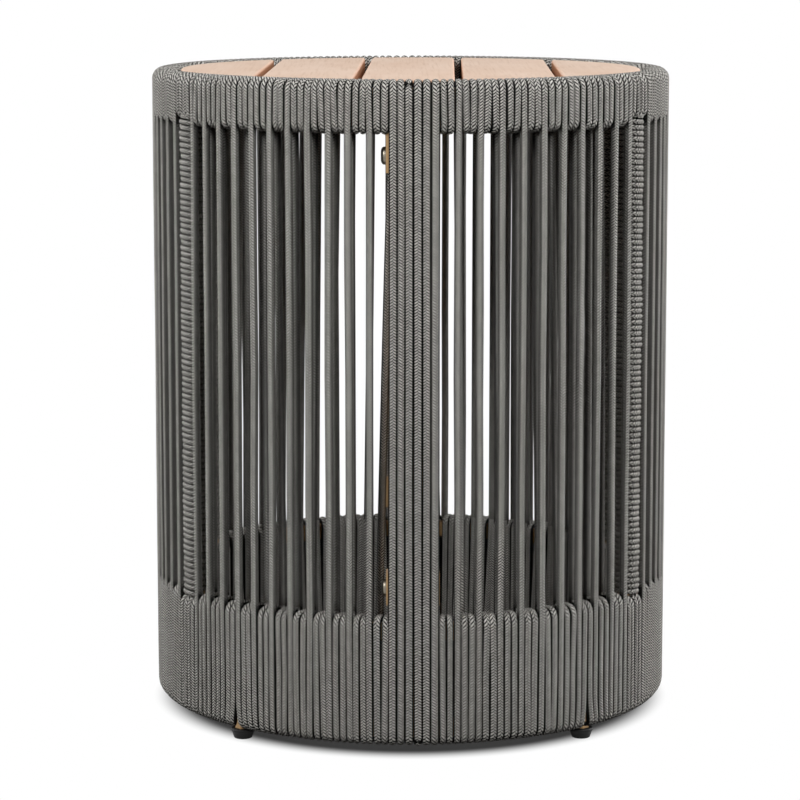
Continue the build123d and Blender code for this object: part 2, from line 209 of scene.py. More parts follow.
def lathe_skin(profile: np.ndarray, steps: int, reach: Union[float, np.ndarray] = 1.0,
               start_cap: bool = True) -> Skin:
    """A profile of (radius, height) pairs carried round the Z axis and closed by flat faces at its ends.

    A point of the surface is (r cos t, r sin t, h) for the angle t.

    Args:
        profile: the pairs, going up outside or in towards the axis.
        steps: points of each ring.
        reach: factors on the radius, one row for each pair and one column for each step.
        start_cap: whether the first ring is closed too.

    Returns:
        The surface.
    """
    angle = full_turn(steps)
    radius = np.repeat(profile[:, :1], steps, axis=1) * reach
    height = np.repeat(profile[:, 1:], steps, axis=1)
    rings = np.stack([radius * np.cos(angle), radius * np.sin(angle), height], -1)
    quads, step = tube_faces(1, len(profile), steps, closed=False)
    caps = end_caps(1, len(profile), steps)
    caps = caps if start_cap else caps[1:]
    uv = np.stack([step[..., 0] / steps, profile[step[..., 1], 1]], -1).reshape(-1, 2)
    return Skin.of_faces(rings.reshape(-1, 3), quads, caps, np.concatenate([uv, np.zeros((caps.size, 2))]))


# Shader maths

Value = Union["Wire", float]


class Wire:
    """A shader value. Arithmetic on it adds Math nodes to its graph."""

    def __init__(self, graph: "Graph", socket: bpy.types.NodeSocket) -> None:
        """Wrap a socket of a graph."""
        self.graph = graph
        self.socket = socket

    def __add__(self, other: Value) -> "Wire":
        """The sum."""
        return self.graph.math("ADD", self, other)

    def __sub__(self, other: Value) -> "Wire":
        """The difference."""
        return self.graph.math("SUBTRACT", self, other)

    def __rsub__(self, other: Value) -> "Wire":
        """The difference, with this value taken away."""
        return self.graph.math("SUBTRACT", other, self)

    def __mul__(self, other: Value) -> "Wire":
        """The product."""
        return self.graph.math("MULTIPLY", self, other)

    def __truediv__(self, other: Value) -> "Wire":
        """The quotient."""
        return self.graph.math("DIVIDE", self, other)

    def __pow__(self, other: Value) -> "Wire":
        """The power."""
        return self.graph.math("POWER", self, other)

    def __abs__(self) -> "Wire":
        """The value without its sign."""
        return self.graph.math("ABSOLUTE", self)

    def floor(self) -> "Wire":
        """The whole number below."""
        return self.graph.math("FLOOR", self)

    def cosine(self) -> "Wire":
        """The cosine of an angle in radians."""
        return self.graph.math("COSINE", self)

    def larger(self, other: Value) -> "Wire":
        """The larger of two values."""
        return self.graph.math("MAXIMUM", self, other)

    def crown(self) -> "Wire":
        """A hump over 0 to 1: 0 at both ends and 1 in the middle, round on top."""
        tent = 1.0 - abs(self * 2.0 - 1.0)
        return tent * (2.0 - tent)

    def between(self, low: float, high: float) -> "Wire":
        """A value of 0 to 1 carried to a range."""
        return self * (high - low) + low

    def above(self, level: float, gain: float) -> "Wire":
        """How far the value stands above a level, times a gain."""
        return (self - level) * gain


@dataclass(frozen=True)
class Grain:
    """Settings of soft noise.

    Args:
        waves: waves per metre, one number for all axes or one for each.
        start: where the pattern starts.
        detail: number of finer layers.
        rough: weight of the finer layers.
    """

    waves: Union[float, Triple]
    start: Triple = (0.0, 0.0, 0.0)
    detail: float = 3.0
    rough: float = 0.5


class Graph:
    """The node tree of a material or of the world."""

    def __init__(self, owner: Union[bpy.types.Material, bpy.types.World]) -> None:
        """Start the owner's node tree empty."""
        owner.use_nodes = True
        self.tree = owner.node_tree
        self.tree.nodes.clear()

    def add(self, kind: str, settings: dict[str, Any], sockets: dict[str, Any]) -> bpy.types.Node:
        """Add a node.

        Args:
            kind: the node's type.
            settings: its own settings, set first.
            sockets: values or wires of its inputs, by identifier or name.

        Returns:
            The node.
        """
        node = self.tree.nodes.new(kind)
        for name, value in settings.items():
            setattr(node, name, value)
        for name, value in sockets.items():
            target = self._socket(node.inputs, name)
            if isinstance(value, Wire):
                self.tree.links.new(value.socket, target)
            else:
                target.default_value = value
        return node

    @staticmethod
    def _socket(sockets: Any, name: str) -> bpy.types.NodeSocket:
        """The socket with an identifier, or else with a name."""
        exact = [socket for socket in sockets if socket.identifier == name]
        named = [socket for socket in sockets if socket.name == name]
        return (exact + named)[0]

    def out(self, node: bpy.types.Node, name: str) -> Wire:
        """An output of a node as a wire."""
        return Wire(self, self._socket(node.outputs, name))

    def math(self, operation: str, *values: Value) -> Wire:
        """A Math node on one or two values."""
        sockets = dict(zip(("Value", "Value_001"), values))
        return self.out(self.add("ShaderNodeMath", {"operation": operation}, sockets), "Value")

    def mix(self, factor: Value, first: Any, second: Any) -> Wire:
        """Two colours mixed by a factor."""
        settings = {"data_type": "RGBA", "blend_type": "MIX", "clamp_factor": True}
        sockets = {"Factor_Float": factor, "A_Color": first, "B_Color": second}
        return self.out(self.add("ShaderNodeMix", settings, sockets), "Result_Color")

    def coordinates(self, kind: str) -> Wire:
        """Coordinates of a kind: Object is metres in the table's frame, and Normal the way a face looks."""
        return self.out(self.add("ShaderNodeTexCoord", {}, {}), kind)

    def split(self, vector: Wire) -> tuple[Wire, ...]:
        """The three parts of a vector."""
        node = self.add("ShaderNodeSeparateXYZ", {}, {"Vector": vector})
        return tuple(self.out(node, axis) for axis in "XYZ")

    def smooth_step(self, value: Wire, low: float, high: float) -> Wire:
        """0 below a range, 1 above it and a soft rise between."""
        sockets = {"Value": value, "From Min": low, "From Max": high}
        node = self.add("ShaderNodeMapRange", {"interpolation_type": "SMOOTHSTEP"}, sockets)
        return self.out(node, "Result")

    def chance(self, dimensions: str, socket: str, key: Wire) -> Wire:
        """A fixed chance value of 0 to 1 for each value of a key."""
        node = self.add("ShaderNodeTexWhiteNoise", {"noise_dimensions": dimensions}, {socket: key})
        return self.out(node, "Value")

    def noise(self, grain: Grain) -> Wire:
        """Soft noise of about 0 to 1 in the table's frame."""
        waves = grain.waves if isinstance(grain.waves, tuple) else (grain.waves,) * 3
        place = {"Vector": self.coordinates("Object"), "Scale": waves, "Location": grain.start}
        moved = self.out(self.add("ShaderNodeMapping", {}, place), "Vector")
        sockets = {"Vector": moved, "Scale": 1.0, "Detail": grain.detail, "Roughness": grain.rough}
        return self.out(self.add("ShaderNodeTexNoise", {"noise_dimensions": "3D"}, sockets), "Fac")

    def bump(self, height: Wire, distance: float, strength: float) -> Wire:
        """A normal from a height, with the height's full step in metres."""
        sockets = {"Height": height, "Distance": distance, "Strength": strength}
        return self.out(self.add("ShaderNodeBump", {}, sockets), "Normal")

    def seen_directly(self) -> Wire:
        """1 for rays of the camera, of reflections and through glass, and 0 for the light on surfaces."""
        path = self.add("ShaderNodeLightPath", {}, {})
        rays = ("Camera", "Glossy", "Transmission")
        camera, glossy, through = [self.out(path, f"Is {ray} Ray") for ray in rays]
        return camera.larger(glossy).larger(through)

    def finish(self, sockets: dict[str, Any]) -> None:
        """End a material in a Principled shader."""
        shader = self.add("ShaderNodeBsdfPrincipled", {}, sockets)
        self.add("ShaderNodeOutputMaterial", {}, {"Surface": self.out(shader, "BSDF")})


# Finishes. A relief is the height of a bump and its strength, and a pair of roughness is its range.

@dataclass(frozen=True)
class Finish:
    """A material made of nodes.

    Args:
        name: the material's name.
    """

    name: str

    def material(self) -> bpy.types.Material:
        """Make the material."""
        made = bpy.data.materials.new(self.name)
        self.paint(Graph(made))
        return made

    def paint(self, graph: Graph) -> None:
        """Add the finish's nodes to an empty graph."""
        raise NotImplementedError


@dataclass(frozen=True)
class CordFinish(Finish):
    """Braided outdoor cord: lanes of slanted stitches that lean left and right in turn, with painted shade in
    the hollows between stitches and on the flanks where cords touch.

    Args:
        drum: sizes of the wound drum.
        bare_groove_shade: strength of the painted shade on the flanks, where cords lie against each other,
            between the two bands.
        band_groove_shade: strength of that painted shade on the bands.
        lanes: lanes of stitches round the cord.
        slant: stitches that a lane's slant goes along.
        stitch_edge: swell of a stitch at which its yarn starts to show over the painted shade of the hollows,
            and shows in full.
        flank_shade_edge: cosine of the way round at which the painted shade on a flank starts, and is full.
        lane_height: height at a lane's edges, as a share of its middle.
        lane_edge_lit: share of the yarn that shows there over the painted shade of the hollows.
        tones: range of the stitches' own tones.
    """

    drum: "Drum"
    bare_groove_shade: float
    band_groove_shade: float = 0.97
    # painted shade of the hollows between stitches and between lanes
    hollow_shade: Colour = srgb(44, 43, 41)
    yarn: Colour = srgb(208, 206, 201)
    aged: Colour = srgb(184, 181, 175)
    # painted shade that darkens the cord's flanks where it lies against its neighbours
    groove_shade: Colour = srgb(9, 9, 8)
    wear: Grain = Grain(14.0, (3.0, 1.0, 2.0))
    lanes: int = 6
    slant: float = 0.9
    stitch_edge: Pair = (0.22, 0.62)
    flank_shade_edge: Pair = (0.64, 0.88)
    lane_height: float = 0.6
    lane_edge_lit: float = 0.65
    tones: Pair = (0.75, 1.1)
    relief: Pair = (0.5 * MM, 0.8)
    roughness: float = 0.9
    gloss: float = 0.03

    def paint(self, graph: Graph) -> None:
        """Stitch height from the braid UV: a hump along each stitch times a hump across its lane. Yarn shows
        on the crowns over painted shade in the hollows, and the flanks get painted shade too.
        """
        uv = graph.add("ShaderNodeUVMap", {"uv_map": BRAID_UV}, {})
        around, along, _ = graph.split(graph.out(uv, "UV"))
        across = (around + graph.chance("1D", "W", around.floor())) * float(self.lanes)
        lane = across.floor()
        cross = across - lane
        odd = lane - (lane / 2.0).floor() * 2.0
        phase = along + (1.0 - odd * 2.0) * (cross - 0.5) * self.slant + odd * 0.5
        swell = 0.5 - (phase * FULL_TURN).cosine() * 0.5
        height = swell * cross.crown().between(self.lane_height, 1.0)
        key = graph.add("ShaderNodeCombineXYZ", {}, {"X": lane, "Y": phase.floor()})
        tone = graph.chance("2D", "Vector", graph.out(key, "Vector")).between(*self.tones)
        # yarn on the stitches' crowns, with the hollow colour as painted shade below the edge and towards the
        # lanes' edges; tone is each stitch's own random tone
        lit_and_toned_yarn = graph.smooth_step(swell, *self.stitch_edge)
        lit_and_toned_yarn = lit_and_toned_yarn * cross.crown().between(self.lane_edge_lit, 1.0) * tone
        yarn = graph.mix(graph.noise(self.wear), self.yarn, self.aged)
        colour = graph.mix(lit_and_toned_yarn, self.hollow_shade, yarn)
        # painted shade on the flanks, where each cord lies against the next, stronger on the bands
        flank = graph.smooth_step(abs((around * FULL_TURN).cosine()), *self.flank_shade_edge)
        graph.finish({
            "Base Color": graph.mix(flank * self.groove_shade_share(graph), colour, self.groove_shade),
            "Roughness": self.roughness,
            "Specular IOR Level": self.gloss,
            "Normal": graph.bump(height, *self.relief),
        })

    def groove_shade_share(self, graph: Graph) -> Wire:
        """Strength of the painted shade on the flanks by height: one share on the bands and another between
        them.
        """
        level = graph.split(graph.coordinates("Object"))[2]
        middle = 0.5 * (self.drum.rim_low + self.drum.base_top)
        reach = 0.5 * (self.drum.rim_low - self.drum.base_top)
        band = graph.smooth_step(abs(level - middle), reach - self.drum.cord, reach)
        return band.between(self.bare_groove_shade, self.band_groove_shade)


@dataclass(frozen=True)
class TeakFinish(Finish):
    """Sanded pale teak with fine fibres along the board, and painted warm shade on the upright sides.

    Args:
        start: where the board starts in the grain.
        along_x: whether the board lies along X in place of Y.
        band_waves: waves per metre of the broad bands, across and along the board.
        fibre_waves: the same of the fibres.
        band_show: level of the noise above which a band shows, and the gain.
        fibre_show: the same of the fibres.
        side_shade_share: how much of the painted warm shade an upright face takes.
    """

    start: Triple
    along_x: bool = False
    pale: Colour = srgb(211, 187, 169)
    band: Colour = srgb(198, 167, 144)
    fibre: Colour = srgb(172, 138, 111)
    # painted warm shade that upright faces take, by the way they face
    side: Colour = srgb(176, 116, 72)
    band_waves: Pair = (30.0, 9.0)
    fibre_waves: Pair = (520.0, 14.0)
    band_show: Pair = (0.3, 1.6)
    fibre_show: Pair = (0.52, 1.8)
    side_shade_share: float = 0.75
    relief: Pair = (0.12 * MM, 0.5)
    roughness: Pair = (0.5, 0.7)
    gloss: float = 0.12

    def grain(self, waves: Pair, detail: float, rough: float) -> Grain:
        """Noise with waves of its own across and along the board."""
        across, along = waves
        stretch = (along, across, across) if self.along_x else (across, along, across)
        return Grain(stretch, self.start, detail, rough)

    def paint(self, graph: Graph) -> None:
        """Broad bands and fine fibres from noise stretched along the board, and painted warm shade on upright
        faces.
        """
        bands = graph.noise(self.grain(self.band_waves, 4.0, 0.6))
        fibres = graph.noise(self.grain(self.fibre_waves, 5.0, 0.65))
        colour = graph.mix(bands.above(*self.band_show), self.pale, self.band)
        colour = graph.mix(fibres.above(*self.fibre_show), colour, self.fibre)
        # upright faces take painted shade by how far they face sideways
        upward = graph.split(graph.coordinates("Normal"))[2]
        graph.finish({
            "Base Color": graph.mix((1.0 - abs(upward)) * self.side_shade_share, colour, self.side),
            "Roughness": fibres.between(*self.roughness),
            "Specular IOR Level": self.gloss,
            "Normal": graph.bump(fibres, *self.relief),
        })


@dataclass(frozen=True)
class CoatFinish(Finish):
    """Satin powder coat with a faint orange-peel and a little metal flake."""

    name: str = "champagne_coat"
    light: Colour = srgb(206, 172, 128)
    deep: Colour = srgb(180, 142, 96)
    patches: Grain = Grain(30.0)
    peel: Grain = Grain(1400.0, detail=2.0)
    relief: Pair = (0.05 * MM, 0.4)
    roughness: Pair = (0.36, 0.48)
    metal: float = 0.25

    def paint(self, graph: Graph) -> None:
        """Two close tones in soft patches over a fine grain."""
        peel = graph.noise(self.peel)
        graph.finish({
            "Base Color": graph.mix(graph.noise(self.patches), self.light, self.deep),
            "Metallic": self.metal,
            "Roughness": peel.between(*self.roughness),
            "Normal": graph.bump(peel, *self.relief),
        })


@dataclass(frozen=True)
class SteelFinish(Finish):
    """Stainless steel of small fasteners, bright in small patches."""

    name: str = "bright_steel"
    light: Colour = srgb(146, 140, 128)
    deep: Colour = srgb(102, 96, 84)
    patches: Grain = Grain(420.0, (1.0, 2.0, 3.0))
    roughness: Pair = (0.24, 0.44)

    def paint(self, graph: Graph) -> None:
        """A metal whose tone and gloss change a little in small patches."""
        patches = graph.noise(self.patches)
        graph.finish({
            "Base Color": graph.mix(patches, self.light, self.deep),
            "Metallic": 1.0,
            "Roughness": patches.between(*self.roughness),
        })


@dataclass(frozen=True)
class FootFinish(Finish):
    """Black moulded plastic with a fine spark grain and scuffs."""

    name: str = "black_foot"
    body: Colour = srgb(11, 11, 11)
    scuff: Colour = srgb(28, 28, 27)
    marks: Grain = Grain(260.0, (5.0, 0.0, 0.0), 4.0)
    scuff_show: Pair = (0.55, 3.0)
    spark: Grain = Grain(2600.0, detail=1.0)
    relief: Pair = (0.06 * MM, 0.5)
    roughness: Pair = (0.4, 0.7)
    gloss: float = 0.2

    def paint(self, graph: Graph) -> None:
        """A dark body, lighter where a coarse noise peaks, over a fine bump."""
        marks = graph.noise(self.marks)
        graph.finish({
            "Base Color": graph.mix(marks.above(*self.scuff_show), self.body, self.scuff),
            "Roughness": marks.between(*self.roughness),
            "Specular IOR Level": self.gloss,
            "Normal": graph.bump(graph.noise(self.spark), *self.relief),
        })


@dataclass(frozen=True)
class FloorFinish(Finish):
    """A studio floor that shows dark grey near the table, a painted dark disc round the table's real shadow,
    and fades to white further out.

    Args:
        near: distance from the axis at which the fade to white starts.
        far: distance at which it ends.
        shadow_fill_glow: share of white that shows near the table, a painted glow that lightens the shadow
            there.
    """

    name: str = "studio_floor"
    # the matt colour is dark grey, so that near the table the floor shows a painted dark disc as well as the
    # real shadow, and throws back little light
    pale: Colour = (0.07, 0.07, 0.069, 1.0)
    near: float = 0.178
    far: float = 0.205
    shadow_fill_glow: float = 0.04

    def paint(self, graph: Graph) -> None:
        """A matt floor, mixed with plain white for what the camera sees beyond a distance from the axis."""
        x, y, _ = graph.split(graph.coordinates("Object"))
        # the camera sees the dark grey matt floor only near the table: a painted shadow round the table's
        # real one
        away = graph.smooth_step((x * x + y * y) ** 0.5, self.near, self.far)
        matt = graph.add("ShaderNodeBsdfDiffuse", {}, {"Color": self.pale})
        white = graph.add("ShaderNodeEmission", {}, {"Color": WHITE, "Strength": 1.0})
        shader = graph.add("ShaderNodeMixShader", {}, {
            "Fac": away.between(self.shadow_fill_glow, 1.0) * graph.seen_directly(),
            "Shader": graph.out(matt, "BSDF"),
            "Shader_001": graph.out(white, "Emission"),
        })
        graph.add("ShaderNodeOutputMaterial", {}, {"Surface": graph.out(shader, "Shader")})


# Cord

def unit(vectors: np.ndarray) -> np.ndarray:
    """Vectors of length 1 in the same directions."""
    return vectors / np.linalg.norm(vectors, axis=-1, keepdims=True)


@dataclass
class CordRun:
    """Cords of one kind side by side, as arrays over the cords and over the points along each.

    Args:
        path: centre lines, cords by points by 3.
        across: directions across the cord, along the surface that it lies on.
        half_width: half the cord's size along across.
        half_depth: half the cord's size square to it.
        tangent: unit directions along the cord.
        length: distances along the cord.
        closed: whether each cord is a ring.
    """

    path: np.ndarray
    across: np.ndarray
    half_width: np.ndarray
    half_depth: np.ndarray
    tangent: np.ndarray
    length: np.ndarray
    closed: bool = False

    SIDES = 12
    STITCH = 2.13 * MM
    END_STEPS = 4
    END_TURN = 0.47 * math.pi
    LONGEST_START = 4.0

    @classmethod
    def laid(cls, path: np.ndarray, across: np.ndarray, half_width: np.ndarray, half_depth: float,
             start: np.ndarray, closed: bool = False) -> "CordRun":
        """Work out directions and distances of some centre lines.

        Args:
            path: centre lines.
            across: directions across, not yet square to the cord.
            half_width: half sizes along across, spread over the path's shape.
            half_depth: half the size square to it.
            start: distance at which each cord's braid starts.
            closed: whether the cords are rings.

        Returns:
            The run.
        """
        if closed:
            tangent = np.roll(path, -1, axis=1) - np.roll(path, 1, axis=1)
        else:
            tangent = np.gradient(path, axis=1)
        tangent = unit(tangent)
        square = unit(across - np.sum(across * tangent, -1, keepdims=True) * tangent)
        steps = np.linalg.norm(np.diff(path, axis=1), axis=-1)
        length = np.concatenate([np.zeros((len(path), 1)), np.cumsum(steps, axis=1)], axis=1)
        shape = path.shape[:2]
        return cls(path, square, np.broadcast_to(half_width, shape), np.full(shape, half_depth),
                   tangent, length + start.reshape(-1, 1), closed)

    def arrays(self) -> tuple[np.ndarray, ...]:
        """The run's arrays in the order of its fields."""
        return self.path, self.across, self.half_width, self.half_depth, self.tangent, self.length

    def part(self, first: int, last: int, cords: Optional[int] = None) -> "CordRun":
        """The stretch between two points along the cords, both included.

        Args:
            first: number of the first point.
            last: number of the last point.
            cords: where the list of cords is cut off, if at all.

        Returns:
            The stretch.
        """
        return CordRun(*[array[:cords, first:last + 1] for array in self.arrays()])

    def round_ends(self) -> "CordRun":
        """Add half-round ends: rings pushed out by r sin t and drawn in by cos t."""
        turn = np.linspace(0.0, self.END_TURN, self.END_STEPS + 1)[1:]
        return self._with_dome(turn, -1)._with_dome(turn, 0)

    def _with_dome(self, turn: np.ndarray, end: int) -> "CordRun":
        """Rings of one half-round end, put before the first point or after the last."""
        is_start = end == 0
        order = turn[::-1] if is_start else turn
        depth = self.half_depth[:, end, None]
        push = (-1.0 if is_start else 1.0) * np.sin(order) * depth
        rings = (
            self.path[:, end, None] + self.tangent[:, end, None] * push[..., None],
            np.repeat(self.across[:, end, None], len(order), 1),
            self.half_width[:, end, None] * np.cos(order),
            depth * np.cos(order),
            np.repeat(self.tangent[:, end, None], len(order), 1),
            self.length[:, end, None] + push,
        )
        pairs = zip(rings, self.arrays())
        return CordRun(*[np.concatenate(pair if is_start else pair[::-1], axis=1) for pair in pairs])

    def skin(self) -> Skin:
        """The tubes: centre + across * w cos t + (tangent x across) * d sin t.

        The braid UV is the cord's number plus the share of its way round, and the distance along in stitches.
        """
        count, rings = self.path.shape[:2]
        angle = full_turn(self.SIDES)
        upright = np.cross(self.tangent, self.across)
        ring = (self.across[:, :, None] * (self.half_width[..., None] * np.cos(angle))[..., None]
                + upright[:, :, None] * (self.half_depth[..., None] * np.sin(angle))[..., None])
        points = (self.path[:, :, None] + ring).reshape(-1, 3)
        quads, step = tube_faces(count, rings, self.SIDES, self.closed)
        along = self.length / self.STITCH
        if self.closed:
            gap = np.linalg.norm(self.path[:, 0] - self.path[:, -1], axis=-1) / self.STITCH
            along = np.concatenate([along, along[:, -1:] + gap[:, None]], axis=1)
        around = step[..., 2] + step[..., 0] / self.SIDES
        uv = np.stack([around, along[step[..., 2], step[..., 1]]], -1).reshape(-1, 2)
        if self.closed:
            return Skin.of_faces(points, quads, np.empty((0, self.SIDES), dtype=int), uv)
        caps = end_caps(count, rings, self.SIDES)
        cap_along = np.repeat(np.concatenate([along[:, 0], along[:, -1]]), self.SIDES)
        cap_uv = np.stack([np.tile(np.arange(self.SIDES) / self.SIDES, len(caps)), cap_along], -1)
        return Skin.of_faces(points, quads, caps, np.concatenate([uv, cap_uv]))


@dataclass
class Route:
    """A cord's route in an upright plane, given by stations and rounded at its right-angled turns.

    Args:
        stations: rows of distance from the axis, height, and sideways offset in cord pitches.
        bend: radius of the turns.
        closed: whether the last station joins the first.
    """

    stations: np.ndarray
    bend: float
    closed: bool = False

    ARC_STEPS = 5
    RUN_STEP = 9 * MM
    STRAIGHT_ON = 0.5

    def __post_init__(self) -> None:
        """Lay the points and the weights that spread a station's values along the route."""
        plane = self.stations[:, :2]
        count = len(plane)
        pieces: list[np.ndarray] = []
        marks: list[int] = []
        total = 0
        for index in range(count):
            before = plane[index - 1]
            after = plane[(index + 1) % count]
            turn = self._turn(before, plane[index], after) if self.closed or 0 < index < count - 1 else None
            piece = plane[index][None] if turn is None else turn
            if pieces:
                run = self._run(pieces[-1][-1], piece[0])
                pieces.append(run)
                total += len(run)
            marks.append(total + len(piece) // 2)
            pieces.append(piece)
            total += len(piece)
        if self.closed:
            pieces.append(self._run(pieces[-1][-1], pieces[0][0]))
        self.points = np.concatenate([piece for piece in pieces if len(piece)])
        self.marks = np.array(marks)
        steps = np.linalg.norm(np.diff(self.points, axis=0), axis=-1)
        place = np.concatenate([[0.0], np.cumsum(steps)])
        at = place[self.marks]
        names = np.eye(count)
        if self.closed:
            whole = place[-1] + np.linalg.norm(self.points[0] - self.points[-1])
            at = np.concatenate([at, [at[0] + whole]])
            names = np.concatenate([names, names[:1]])
            place = np.where(place < at[0], place + whole, place)
        self.weights = np.stack([np.interp(place, at, column) for column in names.T], axis=1)

    def _turn(self, before: np.ndarray, corner: np.ndarray, after: np.ndarray) -> Optional[np.ndarray]:
        """A quarter turn, centre + bend * (d0 sin t - d1 cos t), or nothing where the route runs on."""
        first = unit(corner - before)
        second = unit(after - corner)
        if abs(first @ second) > self.STRAIGHT_ON:
            return None
        angle = quarter_turn(self.ARC_STEPS + 1)[:, None]
        centre = corner + self.bend * (second - first)
        return centre + self.bend * (first * np.sin(angle) - second * np.cos(angle))

    def _run(self, start: np.ndarray, end: np.ndarray) -> np.ndarray:
        """Points between two ends of a straight run, without the ends."""
        steps = int(np.linalg.norm(end - start) // self.RUN_STEP)
        share = np.linspace(0.0, 1.0, steps + 2)[1:-1, None]
        return start + (end - start) * share

    def spread(self, values: np.ndarray) -> np.ndarray:
        """Values at the stations, in the last axis, spread along the route."""
        return values @ self.weights.T


@dataclass
class Drum:
    """Sizes of the wound drum, read from the frame."""

    cord: float = 6.0 * MM
    outer: float = field(init=False)
    crest: float = field(init=False)
    rim_low: float = field(init=False)
    base_top: float = field(init=False)
    base_low: float = field(init=False)
    rail_middle: float = field(init=False)
    inner: float = field(init=False)
    foot_azimuth: float = field(init=False)

    def __post_init__(self) -> None:
        """Read centre lines of the cord from the boxes of the bands and of a foot's stud."""
        half = self.cord / 2
        low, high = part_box("left_rim_wrap")
        self.outer = -low.x - half
        self.crest = high.z - half
        self.rim_low = low.z + half
        low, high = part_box("left_base_wrap")
        self.base_top = high.z - half
        self.base_low = low.z + half
        self.rail_middle, self.foot_azimuth = self.polar_of("front_right_foot_stud")
        self.inner = 2 * self.rail_middle - self.outer

    @staticmethod
    def polar_of(node: str) -> Pair:
        """Distance from the axis and azimuth, in degrees, of the middle of a node's box."""
        low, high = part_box(node)
        middle = (low + high) / 2
        return math.hypot(middle.x, middle.y), math.degrees(math.atan2(middle.x, -middle.y))


@dataclass(frozen=True)
class Panel:
    """Upright strands between two posts, nearly even in azimuth.

    Args:
        first: azimuth of the strand nearest to the front seam, in degrees.
        last: azimuth of the strand furthest from it.
        strands: number of strands.
        bow: how far the middle strands stand off their even places, in degrees.
        rise: sideways places of the inner strand's lower and upper ends, in pitches from the outer strand.
    """

    first: float
    last: float
    strands: int
    bow: float = 0.0
    rise: Pair = (3.0, 3.4)

    CORDS_PER_STRAND = 3

    def azimuths(self) -> np.ndarray:
        """Azimuths of the strands in the order of winding, towards the front seam."""
        share = np.linspace(0.0, 1.0, self.strands)
        return self.last + (self.first - self.last) * share + self.bow * np.sin(math.pi * share)

    def mean_pitch(self) -> float:
        """Mean angle from cord to cord: two turns lie between neighbouring strands."""
        return (self.last - self.first) / (self.strands - 1) / self.CORDS_PER_STRAND

    def pitches(self) -> np.ndarray:
        """Angle from cord to cord after each strand, with the mean after the last one."""
        return np.append(-np.diff(self.azimuths()) / self.CORDS_PER_STRAND, self.mean_pitch())


